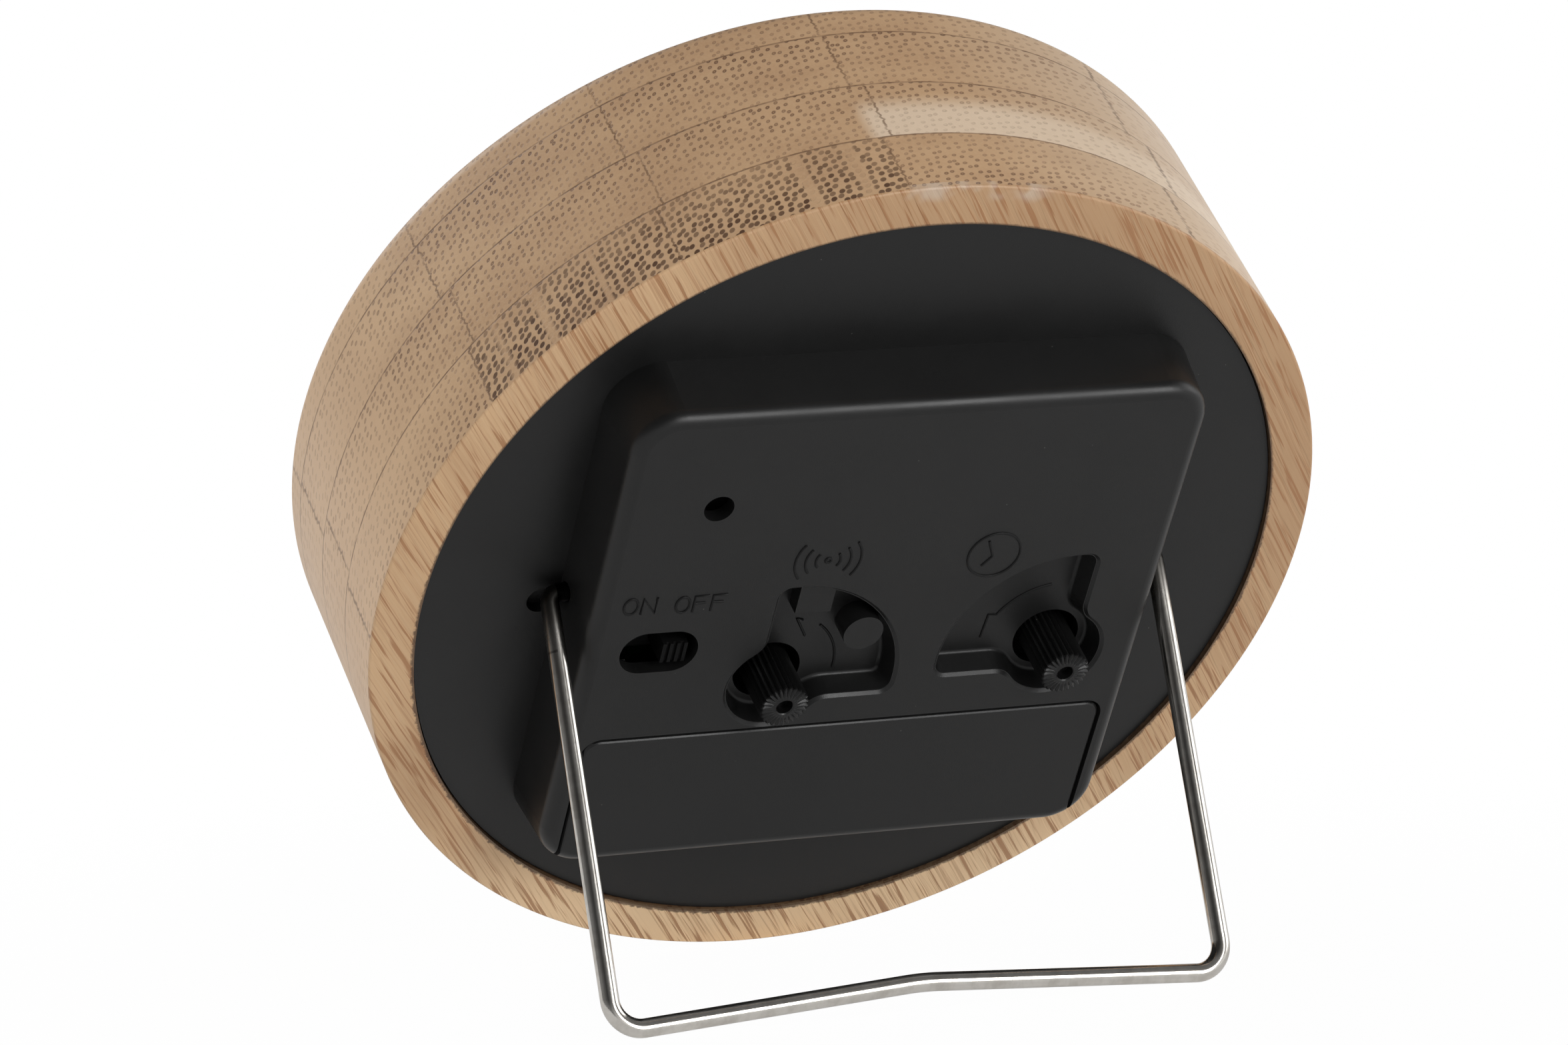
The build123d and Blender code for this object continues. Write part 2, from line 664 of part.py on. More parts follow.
def make_wire_stand():
    """One bent wire: pins turned in at the top, two legs, and an arched foot."""
    slope = math.radians(STAND_ANGLE)

    def on_leg(x, reach):
        return (x, STAND_AXIS_Y - reach * math.cos(slope), stand_axis_z + reach * math.sin(slope))

    pin_x = housing_half_width - HOUSING_WALL - STAND_BOSS_LENGTH
    corners = [
        on_leg(-pin_x, 0),
        on_leg(-stand_half_width, 0),
        on_leg(-stand_half_width, STAND_LEG),
        on_leg(0, STAND_LEG - STAND_FOOT_ARCH),
        on_leg(stand_half_width, STAND_LEG),
        on_leg(stand_half_width, 0),
        on_leg(pin_x, 0),
    ]
    pin_bend = wire_radius + STAND_PIN_INNER_BEND
    bends = [pin_bend, STAND_CORNER_BEND, STAND_FOOT_BEND, STAND_CORNER_BEND, pin_bend]
    path = FilletPolyline(*corners, radius=bends)
    section = Plane(origin=path @ 0, z_dir=path % 0) * Circle(wire_radius)
    return sweep(section, path=path)


# Controls


def make_knob(axis):
    """Serrated setting knob with a dimple in its tip, pressed on its arbor."""
    tip_z = back_z + KNOB_PROUD
    base_z = tip_z - KNOB_LENGTH
    step = 360 / KNOB_TEETH
    rim = []
    for tooth in range(KNOB_TEETH):
        rim.append(polar(KNOB_RADIUS, tooth * step))
        rim.append(polar(KNOB_RADIUS - KNOB_GROOVE, (tooth + 1 / 2) * step))
    knob = Pos(*axis) * prism(make_face(Polyline(*rim, close=True)), base_z, tip_z)
    knob -= post(KNOB_TIP_HOLE_RADIUS, tip_z - KNOB_TIP_HOLE_DEPTH, tip_z + CUT_OVERRUN, axis)
    return knob - post(SETTING_ARBOR_RADIUS, base_z - CUT_OVERRUN, arbor_tip_z(), axis)


def arbor_tip_z():
    """Top of the setting arbors, inside the knobs."""
    return back_z + KNOB_PROUD - KNOB_TIP_HOLE_DEPTH - KNOB_TIP_HOLE_RADIUS


def thumb_place():
    """Middle of the switch's thumb piece at the OFF end of its slot."""
    return (switch_x + SWITCH_TRAVEL / 2, SWITCH_Y - SWITCH_THUMB_DROP)


def make_switch_slider():
    """Ribbed thumb piece on a stem that runs in the switch body."""
    x, y = thumb_place()
    top_z = back_z - SWITCH_THUMB_SINK
    stem_top = board_top_z + SWITCH_BODY_RISE + RUN_GAP
    half_width, half_height = SWITCH_THUMB_WIDTH / 2, SWITCH_THUMB_HEIGHT / 2
    thumb = block(x - half_width, x + half_width, y - half_height, y + half_height, stem_top, top_z)
    pitch = SWITCH_THUMB_WIDTH / (2 * SWITCH_RIB_COUNT - 1)
    for rib in range(SWITCH_RIB_COUNT - 1):
        groove_x = x - half_width + (2 * rib + 1) * pitch
        thumb -= block(
            groove_x,
            groove_x + pitch,
            y - SWITCH_THUMB_HEIGHT,
            y + SWITCH_THUMB_HEIGHT,
            top_z - SWITCH_RIB_DEPTH,
            top_z + CUT_OVERRUN,
        )
    stem = block(
        x - SWITCH_STEM_WIDTH / 2,
        x + SWITCH_STEM_WIDTH / 2,
        SWITCH_Y - SWITCH_STEM_HEIGHT / 2,
        SWITCH_Y + SWITCH_STEM_HEIGHT / 2,
        board_top_z + SWITCH_BODY_FLOOR + RUN_GAP,
        stem_top,
    )
    return thumb + stem


def make_switch_body():
    """Slide switch on the circuit board, with a slot for the slider's stem."""
    half_length, half_height = SWITCH_BODY_LENGTH / 2, SWITCH_BODY_HEIGHT / 2
    top_z = board_top_z + SWITCH_BODY_RISE
    body = block(
        switch_x - half_length,
        switch_x + half_length,
        SWITCH_Y - half_height,
        SWITCH_Y + half_height,
        board_top_z,
        top_z,
    )
    reach = (SWITCH_TRAVEL + SWITCH_STEM_WIDTH) / 2 + RUN_GAP
    half_slot = SWITCH_STEM_HEIGHT / 2 + RUN_GAP
    return body - block(
        switch_x - reach,
        switch_x + reach,
        SWITCH_Y - half_slot,
        SWITCH_Y + half_slot,
        board_top_z + SWITCH_BODY_FLOOR,
        top_z + CUT_OVERRUN,
    )


# Wheels


def mesh_phase(teeth, phase, bearing, mate_teeth):
    """Phase of a wheel that meshes with another one lying at a bearing from it."""
    return bearing + 180 - (phase - bearing) * teeth / mate_teeth + 180 / mate_teeth


def toothed(teeth, module, z_low, phase=0.0, place=(0, 0), thickness=WHEEL_THICKNESS):
    """Toothed disc with straight-sided teeth thinned for backlash."""
    pitch_radius = teeth * module / 2
    tip_radius = pitch_radius + ADDENDUM_SHARE * module
    root_radius = pitch_radius - DEDENDUM_SHARE * module
    pressure = math.radians(PRESSURE_ANGLE)
    half_pitch = TOOTH_FILL_SHARE * 90 / teeth
    involute_at_pitch = math.degrees(math.tan(pressure) - pressure)
    tip_pressure = math.acos(min(1, pitch_radius * math.cos(pressure) / tip_radius))
    involute_at_tip = math.degrees(math.tan(tip_pressure) - tip_pressure)
    half_tip = half_pitch + involute_at_pitch - involute_at_tip
    half_root = half_pitch + involute_at_pitch
    rim = []
    for tooth in range(teeth):
        middle = phase + tooth * 360 / teeth
        rim.append(polar(root_radius, middle - half_root))
        rim.append(polar(tip_radius, middle - half_tip))
        rim.append(polar(tip_radius, middle + half_tip))
        rim.append(polar(root_radius, middle + half_root))
    face = make_face(Polyline(*rim, close=True))
    return Pos(*place) * prism(face, z_low, z_low + thickness)


def hand_z(order):
    """Front face of a hand, counted from the one nearest the dial."""
    return dial_front_z - POST_RISE - (order + 1) * HAND_STEP


def make_alarm_wheel():
    """Wheel and tube that carry the alarm hand."""
    z = level_z(ALARM_LEVEL)
    wheel = toothed(ALARM_WHEEL_TEETH, alarm_module, z)
    wheel += post(ALARM_TUBE_RADIUS, hand_z(0), z)
    return wheel - post(HOUR_TUBE_RADIUS + RUN_GAP, hand_z(0) - CUT_OVERRUN, z + LEVEL_PITCH)


def make_alarm_setting_gear():
    """Gear and arbor under the alarm knob."""
    bearing = bearing_of(alarm_axis)
    phase = mesh_phase(ALARM_WHEEL_TEETH, 0, bearing, ALARM_GEAR_TEETH)
    gear = toothed(ALARM_GEAR_TEETH, alarm_module, level_z(ALARM_LEVEL), phase, alarm_axis)
    return gear + post(SETTING_ARBOR_RADIUS, dial_rear_z + RUN_GAP, arbor_tip_z(), alarm_axis)


def make_hour_wheel():
    """Wheel and tube that carry the hour hand."""
    z = level_z(HOUR_LEVEL)
    wheel = toothed(HOUR_WHEEL_TEETH, hour_module, z)
    wheel += post(HOUR_TUBE_RADIUS, hand_z(1), z)
    return wheel - post(MINUTE_TUBE_RADIUS + RUN_GAP, hand_z(1) - CUT_OVERRUN, z + LEVEL_PITCH)


def make_cannon_tube():
    """Cannon pinion and tube that carry the minute hand, with a seat for the centre wheel."""
    z = level_z(CANNON_LEVEL)
    cannon = toothed(CANNON_TEETH, motion_module, z)
    cannon += post(MINUTE_TUBE_RADIUS, hand_z(2), level_z(CENTRE_LEVEL) + WHEEL_THICKNESS)
    return cannon - post(SECOND_ARBOR_RADIUS + RUN_GAP, hand_z(2) - CUT_OVERRUN, level_z(SECOND_LEVEL))


def make_motion_wheel():
    """Motion work: a wheel turned by the cannon pinion and a pinion that turns the hour wheel."""
    bearing = bearing_of(motion_axis)
    wheel_phase = mesh_phase(CANNON_TEETH, 0, bearing, MOTION_WHEEL_TEETH)
    pinion_phase = mesh_phase(HOUR_WHEEL_TEETH, 0, bearing, MOTION_PINION_TEETH)
    wheel = toothed(MOTION_WHEEL_TEETH, motion_module, level_z(CANNON_LEVEL), wheel_phase, motion_axis)
    wheel += toothed(
        MOTION_PINION_TEETH, hour_module, level_z(HOUR_LEVEL), pinion_phase, motion_axis, LEVEL_PITCH
    )
    return wheel + post(ARBOR_RADIUS, dial_rear_z + RUN_GAP, lid_z - RUN_GAP, motion_axis)


def make_time_setting_gear():
    """Gear and arbor under the time knob."""
    wheel_phase = mesh_phase(CANNON_TEETH, 0, bearing_of(motion_axis), MOTION_WHEEL_TEETH)
    bearing = bearing_of(time_axis, motion_axis)
    phase = mesh_phase(MOTION_WHEEL_TEETH, wheel_phase, bearing, TIME_GEAR_TEETH)
    gear = toothed(TIME_GEAR_TEETH, motion_module, level_z(CANNON_LEVEL), phase, time_axis)
    return gear + post(SETTING_ARBOR_RADIUS, dial_rear_z + RUN_GAP, arbor_tip_z(), time_axis)


def make_centre_wheel():
    """Driven rim that slips on the cannon tube while the time is set."""
    wheel = toothed(CENTRE_WHEEL_TEETH, centre_module, level_z(CENTRE_LEVEL))
    z = level_z(CENTRE_LEVEL)
    return wheel - post(MINUTE_TUBE_RADIUS + RUN_GAP, z - CUT_OVERRUN, z + LEVEL_PITCH)


def make_third_wheel():
    """Wheel and pinion between the seconds arbor and the centre wheel."""
    wheel_phase = mesh_phase(SECOND_PINION_TEETH, 0, THIRD_AXIS_ANGLE, THIRD_WHEEL_TEETH)
    pinion_phase = mesh_phase(CENTRE_WHEEL_TEETH, 0, THIRD_AXIS_ANGLE, THIRD_PINION_TEETH)
    wheel = toothed(THIRD_WHEEL_TEETH, third_module, level_z(THIRD_LEVEL), wheel_phase, third_axis)
    wheel += toothed(
        THIRD_PINION_TEETH, centre_module, level_z(CENTRE_LEVEL), pinion_phase, third_axis, LEVEL_PITCH
    )
    return wheel + post(ARBOR_RADIUS, dial_rear_z + RUN_GAP, lid_z - RUN_GAP, third_axis)


def make_seconds_wheel():
    """Centre seconds wheel with its pinion and the long arbor of the second hand."""
    wheel = toothed(SECOND_WHEEL_TEETH, second_module, level_z(SECOND_LEVEL))
    wheel += toothed(SECOND_PINION_TEETH, third_module, level_z(THIRD_LEVEL), thickness=LEVEL_PITCH)
    return wheel + post(SECOND_ARBOR_RADIUS, hand_z(3), lid_z - RUN_GAP)


def make_intermediate_wheel():
    """Wheel and pinion between the rotor and the seconds wheel."""
    pinion_phase = mesh_phase(SECOND_WHEEL_TEETH, 0, INTER_AXIS_ANGLE, INTER_PINION_TEETH)
    wheel = toothed(INTER_WHEEL_TEETH, rotor_module, level_z(INTER_LEVEL), 0, inter_axis)
    wheel += toothed(
        INTER_PINION_TEETH, second_module, level_z(SECOND_LEVEL), pinion_phase, inter_axis, LEVEL_PITCH
    )
    return wheel + post(ARBOR_RADIUS, dial_rear_z + RUN_GAP, lid_z - RUN_GAP, inter_axis)


def magnet_z():
    """Low face of the rotor's magnet."""
    return level_z(INTER_LEVEL) - RUN_GAP - MAGNET_HEIGHT


def make_rotor():
    """Pinion and arbor of the stepping motor's rotor."""
    phase = mesh_phase(INTER_WHEEL_TEETH, 0, ROTOR_AXIS_ANGLE, ROTOR_PINION_TEETH)
    pinion = toothed(ROTOR_PINION_TEETH, rotor_module, level_z(INTER_LEVEL), phase, rotor_axis)
    return pinion + post(ARBOR_RADIUS, dial_rear_z + RUN_GAP, lid_z - RUN_GAP, rotor_axis)


def make_rotor_magnet():
    """Round magnet pressed on the rotor's arbor."""
    return tube(MAGNET_RADIUS, ARBOR_RADIUS, magnet_z(), magnet_z() + MAGNET_HEIGHT, rotor_axis)


# Stepping motor and plates


def stator_z():
    """Low face of the stator plate, level with the middle of the magnet."""
    return magnet_z() + (MAGNET_HEIGHT - STATOR_THICKNESS) / 2


def core_half_length():
    """Half the distance between the outsides of the stator's arms."""
    return COIL_LENGTH / 2 + BOBBIN_FLANGE + STATOR_ARM


def make_stator():
    """Plate round the rotor with two arms and the core that carries the coil."""
    x, y = rotor_axis
    half = core_half_length()
    collar = MAGNET_RADIUS + STATOR_GAP + STATOR_COLLAR
    bar = Pos(x, y) * Rectangle(2 * half, 2 * STATOR_ARM)
    plan = bar + Pos(x, y) * Circle(collar)
    for side in (-1, 1):
        arm = Rectangle(STATOR_ARM, COIL_OFFSET + CORE_WIDTH / 2, align=(Align.CENTER, Align.MIN))
        plan += Pos(x + side * (half - STATOR_ARM / 2), y) * arm
    plan += Pos(x, coil_y) * Rectangle(2 * half, CORE_WIDTH)
    plan -= Pos(x, y) * Circle(MAGNET_RADIUS + STATOR_GAP)
    return prism(plan, stator_z(), stator_z() + STATOR_THICKNESS)


def coil_bar(radius, half_length):
    """Round bar along the coil's axis."""
    bar = Cylinder(radius, 2 * half_length)
    return Pos(rotor_axis[0], coil_y, stator_z() + STATOR_THICKNESS / 2) * Rot(0, 90, 0) * bar


def make_coil_bobbin():
    """Bobbin that slides over the stator's core."""
    half = COIL_LENGTH / 2
    core_radius = math.hypot(CORE_WIDTH, STATOR_THICKNESS) / 2 + BOBBIN_WALL
    bobbin = coil_bar(core_radius, half + BOBBIN_FLANGE)
    flange = coil_bar(COIL_RADIUS + BOBBIN_FLANGE_RIM, half + BOBBIN_FLANGE) - coil_bar(
        COIL_RADIUS + BOBBIN_FLANGE_RIM, half
    )
    bobbin += flange
    reach = half + BOBBIN_FLANGE + CUT_OVERRUN
    x = rotor_axis[0]
    z = stator_z()
    return bobbin - block(
        x - reach,
        x + reach,
        coil_y - CORE_WIDTH / 2,
        coil_y + CORE_WIDTH / 2,
        z,
        z + STATOR_THICKNESS,
    )


def make_coil_winding():
    """Enamelled wire on the bobbin, as one wound body."""
    half = COIL_LENGTH / 2
    core_radius = math.hypot(CORE_WIDTH, STATOR_THICKNESS) / 2 + BOBBIN_WALL
    return coil_bar(COIL_RADIUS, half) - coil_bar(core_radius, half + CUT_OVERRUN)


def plate_plan(inset=0.0):
    """Rounded outline of the movement, drawn in by an inset."""
    width = 2 * (plate_half_width - inset)
    outline = RectangleRounded(width, plate_height - 2 * inset, PLATE_CORNER - inset / 2)
    return Pos(0, plate_mid_y) * outline


def screw_places():
    """Axes of the screws round the movement, clear of the setting gears."""
    x = plate_half_width - SCREW_BOSS_RADIUS
    top_y = plate_top - SCREW_BOSS_RADIUS
    return [(-x, top_y), (x, top_y), (x, SCREW_RIGHT_Y), (-x, plate_bottom + SCREW_BOSS_RADIUS)]


def wheel_arbors():
    """Axes and radii of the arbors that turn in the plates."""
    small = [(axis, ARBOR_RADIUS) for axis in (motion_axis, third_axis, inter_axis, rotor_axis)]
    return small + [(alarm_axis, SETTING_ARBOR_RADIUS), (time_axis, SETTING_ARBOR_RADIUS)]


def stator_pegs():
    """Places of the two pegs that carry the stator's arms."""
    x = core_half_length() - STATOR_ARM / 2
    return [(rotor_axis[0] - x, coil_y), (rotor_axis[0] + x, coil_y)]


def make_movement_tray():
    """Front half of the movement: floor, walls, screw bosses, stator pegs and the centre post."""
    tray = prism(plate_plan(), dial_rear_z, lid_inner_z)
    tray -= prism(plate_plan(TRAY_WALL), tray_floor_z, lid_inner_z + CUT_OVERRUN)
    for place in screw_places():
        tray += post(SCREW_BOSS_RADIUS, tray_floor_z, lid_inner_z, place)
        tray -= post(SCREW_RADIUS, lid_inner_z - SCREW_DEPTH, lid_inner_z + CUT_OVERRUN, place)
    for place in stator_pegs():
        tray += post(STATOR_ARM / 2, tray_floor_z, stator_z(), place)
    tray += post(POST_RADIUS, dial_front_z - POST_RISE, dial_rear_z)
    bore_front_z = dial_front_z - POST_RISE - CUT_OVERRUN
    tray -= post(ALARM_TUBE_RADIUS + RUN_GAP, bore_front_z, tray_floor_z + CUT_OVERRUN)
    for axis, radius in wheel_arbors():
        tray -= post(radius + RUN_GAP, dial_rear_z - CUT_OVERRUN, tray_floor_z + CUT_OVERRUN, axis)
    return tray


def make_movement_lid():
    """Rear half of the movement: a plate with holes for the arbors and screws."""
    lid = prism(plate_plan(), lid_inner_z, lid_z)
    for axis, radius in wheel_arbors() + [((0, 0), SECOND_ARBOR_RADIUS)]:
        lid -= post(radius + RUN_GAP, lid_inner_z - CUT_OVERRUN, lid_z + CUT_OVERRUN, axis)
    for place in screw_places():
        lid -= post(SCREW_RADIUS + RUN_GAP, lid_inner_z - CUT_OVERRUN, lid_z + CUT_OVERRUN, place)
    return lid


def make_movement_screws():
    """Four slotted screws that close the movement."""
    screws = []
    for x, y in screw_places():
        top_z = lid_z + SCREW_HEAD_HEIGHT
        screw = post(SCREW_RADIUS, lid_inner_z - SCREW_DEPTH, lid_z, (x, y))
        screw += post(SCREW_HEAD_RADIUS, lid_z, top_z, (x, y))
        screw -= block(
            x - SCREW_HEAD_RADIUS,
            x + SCREW_HEAD_RADIUS,
            y - SCREW_SLOT_WIDTH / 2,
            y + SCREW_SLOT_WIDTH / 2,
            top_z - SCREW_SLOT_DEPTH,
            top_z + CUT_OVERRUN,
        )
        screws.append(screw)
    return Compound(children=screws)


# Electrics


def make_circuit_board():
    """Board on the movement's lid, cut away round the corner screws."""
    board = block(board_left, board_left + BOARD_WIDTH, BOARD_BOTTOM, board_top, lid_z, board_top_z)
    for place in screw_places():
        board -= post(SCREW_HEAD_RADIUS + SEAT_GAP, lid_z - CUT_OVERRUN, board_top_z + CUT_OVERRUN, place)
    for axis in (alarm_axis, inter_axis, rotor_axis):
        board -= post(SETTING_ARBOR_RADIUS + SEAT_GAP, lid_z - CUT_OVERRUN, board_top_z + CUT_OVERRUN, axis)
    return board


def make_buzzer():
    """Round sounder under the sound hole."""
    place = sound_hole
    top_z = board_top_z + BUZZER_HEIGHT
    buzzer = post(BUZZER_RADIUS, board_top_z, top_z, place)
    return buzzer - post(BUZZER_PORT_RADIUS, top_z - BUZZER_PORT_DEPTH, top_z + CUT_OVERRUN, place)


def make_chip():
    """Moulded blob over the clock circuit, between the switch and the sounder."""
    y = (SWITCH_Y + SWITCH_BODY_HEIGHT / 2 + SOUND_HOLE_Y - BUZZER_RADIUS) / 2
    blob = post(CHIP_RADIUS, board_top_z, board_top_z + CHIP_HEIGHT, (board_mid_x, y))
    return fillet(blob.edges().group_by(Axis.Z)[-1], CHIP_HEIGHT / 2)


def make_crystal():
    """Quartz crystal can lying on the board beside the chip."""
    x = board_left + BOARD_WIDTH - CRYSTAL_RADIUS - SEAT_GAP
    y = SWITCH_Y + SWITCH_BODY_HEIGHT / 2 + CRYSTAL_LENGTH / 2
    can = Rot(90, 0, 0) * Cylinder(CRYSTAL_RADIUS, CRYSTAL_LENGTH)
    return Pos(x, y, board_top_z + CRYSTAL_RADIUS) * can


def make_alarm_leaf():
    """Leaf switch that the alarm wheel's cam closes, on the tray's floor beside the wheel."""
    z = tray_floor_z
    foot = block(LEAF_X, LEAF_X + LEAF_WIDTH, LEAF_Y, LEAF_Y + LEAF_LENGTH, z, z + LEAF_THICKNESS)
    blade = block(LEAF_X, LEAF_X + LEAF_THICKNESS, LEAF_Y, LEAF_Y + LEAF_LENGTH, z, z + LEAF_WIDTH)
    return foot + blade


def make_contact(side):
    """Battery contact: a folded strip against the pocket's end wall, with a tail to the movement."""
    wall_x = pocket_half_length - SEAT_GAP - CONTACT_THICKNESS / 2
    touch_x = CELL_LENGTH / 2 + SEAT_GAP + CONTACT_THICKNESS / 2
    low_y = cell_y - CONTACT_HEIGHT / 2
    high_y = cell_y + CONTACT_HEIGHT / 2
    fold = FilletPolyline(
        (side * wall_x, high_y),
        (side * wall_x, low_y),
        (side * touch_x, low_y),
        (side * touch_x, low_y + CONTACT_SPRING_RISE),
        radius=CONTACT_THICKNESS,
    )
    strip = prism(trace(fold, CONTACT_THICKNESS), cell_z - CONTACT_WIDTH / 2, cell_z + CONTACT_WIDTH / 2)
    half = CONTACT_THICKNESS / 2
    tail = block(
        side * wall_x - half,
        side * wall_x + half,
        high_y - CONTACT_THICKNESS,
        pocket_top + POCKET_WALL + PLATE_GAP / 2,
        cell_z - CONTACT_WIDTH / 4,
        cell_z + CONTACT_WIDTH / 4,
    )
    return strip + tail


def make_cell():
    """Plain round dry cell with its nub to the right."""
    body_length = CELL_LENGTH - CELL_NUB_HEIGHT
    can = Cylinder(CELL_DIAMETER / 2, body_length)
    can = fillet(can.edges().filter_by(GeomType.CIRCLE), CELL_EDGE_ROUND)
    nub = Pos(0, 0, body_length / 2 + CELL_NUB_HEIGHT / 2) * Cylinder(CELL_NUB_DIAMETER / 2, CELL_NUB_HEIGHT)
    return Pos(-CELL_NUB_HEIGHT / 2, cell_y, cell_z) * Rot(0, 90, 0) * (can + nub)


# Hands


def hand_solid(outline, tube_radius, order, dial_angle):
    """Hand of one thickness pressed on its tube, turned to its place on the dial."""
    hub = Circle(tube_radius + HAND_HUB_RIM) - Circle(tube_radius)
    plan = (outline - Circle(tube_radius)) + hub
    z = hand_z(order)
    return Rot(0, 0, dial_angle) * prism(plan, z, z + HAND_THICKNESS)


def baton(length, width, tail=0.0):
    """Straight hand with a pointed end."""
    half = width / 2
    return make_face(
        Polyline((-half, -tail), (half, -tail), (half, length - width), (0, length), (-half, length - width),
                 close=True)
    )


def make_hour_hand():
    """Hour hand."""
    return hand_solid(baton(HOUR_HAND_LENGTH, HOUR_HAND_WIDTH), HOUR_TUBE_RADIUS, 1, HOUR_HAND_ANGLE)


def make_minute_hand():
    """Minute hand."""
    return hand_solid(baton(MINUTE_HAND_LENGTH, MINUTE_HAND_WIDTH), MINUTE_TUBE_RADIUS, 2, MINUTE_HAND_ANGLE)


def make_second_hand():
    """Slim second hand with a tail."""
    outline = baton(SECOND_HAND_LENGTH, SECOND_HAND_WIDTH, SECOND_HAND_TAIL)
    return hand_solid(outline, SECOND_ARBOR_RADIUS, 3, SECOND_HAND_ANGLE)


def make_alarm_hand():
    """Short alarm hand with an arrow head."""
    half = ALARM_HAND_WIDTH / 2
    neck = ALARM_HAND_LENGTH - ALARM_HAND_HEAD
    outline = make_face(
        Polyline((-half, 0), (half, 0), (half, neck), (ALARM_HAND_HEAD / 2, neck), (0, ALARM_HAND_LENGTH),
                 (-ALARM_HAND_HEAD / 2, neck), (-half, neck), close=True)
    )
    return hand_solid(outline, ALARM_TUBE_RADIUS, 0, ALARM_HAND_ANGLE)


# Standing the clock up


def lean_angle():
    """Lean at which the case's rear edge and the stand's foot both touch the floor."""
    slope = math.radians(STAND_ANGLE)
    arch = math.atan2(STAND_FOOT_ARCH, stand_half_width)
    reach = STAND_LEG - STAND_CORNER_BEND * (math.tan(arch) + 1 / math.cos(arch) - 1)
    foot_y = STAND_AXIS_Y - reach * math.cos(slope)
    foot_z = stand_axis_z + reach * math.sin(slope)
    edge_y = CASE_REAR_ROUND - case_radius
    edge_z = -CASE_REAR_ROUND
    span = math.hypot(foot_z - edge_z, foot_y - edge_y)
    rise = math.atan2(foot_y - edge_y, foot_z - edge_z)
    return rise - math.asin((wire_radius - CASE_REAR_ROUND) / span)


def standing(pieces):
    """Place that leans the clock back on its stand, over the middle of its own footprint."""
    lean = lean_angle()
    axes = Plane(origin=(0, 0, 0), x_dir=(-1, 0, 0), z_dir=(0, math.cos(lean), -math.sin(lean)))
    outside = [axes.location * pieces[name] for name in ("bamboo_case", "rear_cover", "wire_stand")]
    boxes = [piece.bounding_box() for piece in outside]
    y_middle = (min(box.min.Y for box in boxes) + max(box.max.Y for box in boxes)) / 2
    z_floor = min(box.min.Z for box in boxes)
    return Pos(0, -y_middle, -z_floor) * axes.location


def make_pieces():
    """Every piece of the clock by its name, in the modelling frame."""
    return {
        "bamboo_case": make_case(),
        "lens": make_lens(),
        "dial_ring": make_dial_ring(),
        "dial": make_dial(),
        "dial_nut": make_dial_nut(),
        "rear_cover": make_rear_cover(),
        "battery_door": make_battery_door(),
        "wire_stand": make_wire_stand(),
        "alarm_knob": make_knob(alarm_axis),
        "time_knob": make_knob(time_axis),
        "switch_slider": make_switch_slider(),
        "switch_body": make_switch_body(),
        "movement_tray": make_movement_tray(),
        "movement_lid": make_movement_lid(),
        "movement_screws": make_movement_screws(),
        "alarm_wheel": make_alarm_wheel(),
        "alarm_setting_gear": make_alarm_setting_gear(),
        "hour_wheel": make_hour_wheel(),
        "cannon_tube": make_cannon_tube(),
        "motion_wheel": make_motion_wheel(),
        "time_setting_gear": make_time_setting_gear(),
        "centre_wheel": make_centre_wheel(),
        "third_wheel": make_third_wheel(),
        "seconds_wheel": make_seconds_wheel(),
        "intermediate_wheel": make_intermediate_wheel(),
        "rotor": make_rotor(),
        "rotor_magnet": make_rotor_magnet(),
        "stator": make_stator(),
        "coil_bobbin": make_coil_bobbin(),
        "coil_winding": make_coil_winding(),
        "alarm_leaf": make_alarm_leaf(),
        "circuit_board": make_circuit_board(),
        "chip": make_chip(),
        "quartz_crystal": make_crystal(),
        "buzzer": make_buzzer(),
        "positive_contact": make_contact(1),
        "negative_contact": make_contact(-1),
        "battery_cell": make_cell(),
        "alarm_hand": make_alarm_hand(),
        "hour_hand": make_hour_hand(),
        "minute_hand": make_minute_hand(),
        "second_hand": make_second_hand(),
    }


pieces = make_pieces()
stance = standing(pieces)
os.makedirs("parts", exist_ok=True)
for name, piece in pieces.items():
    export_step(stance * piece, f"parts/{name}.step")
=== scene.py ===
import json
import math

import bmesh
import bpy
from mathutils import Matrix, Vector


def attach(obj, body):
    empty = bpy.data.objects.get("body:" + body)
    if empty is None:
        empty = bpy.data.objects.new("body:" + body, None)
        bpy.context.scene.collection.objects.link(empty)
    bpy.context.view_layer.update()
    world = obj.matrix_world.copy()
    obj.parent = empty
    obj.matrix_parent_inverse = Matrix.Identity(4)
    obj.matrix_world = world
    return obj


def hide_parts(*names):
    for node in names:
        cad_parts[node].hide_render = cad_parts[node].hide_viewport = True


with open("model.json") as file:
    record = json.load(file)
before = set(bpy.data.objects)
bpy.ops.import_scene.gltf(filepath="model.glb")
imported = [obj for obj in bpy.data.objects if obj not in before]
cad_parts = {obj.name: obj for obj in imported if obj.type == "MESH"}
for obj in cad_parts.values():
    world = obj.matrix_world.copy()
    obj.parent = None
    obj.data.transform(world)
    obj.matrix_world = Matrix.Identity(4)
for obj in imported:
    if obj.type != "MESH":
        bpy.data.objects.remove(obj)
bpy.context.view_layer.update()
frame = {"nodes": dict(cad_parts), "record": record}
scene = bpy.context.scene
scene.view_settings.view_transform = "Standard"

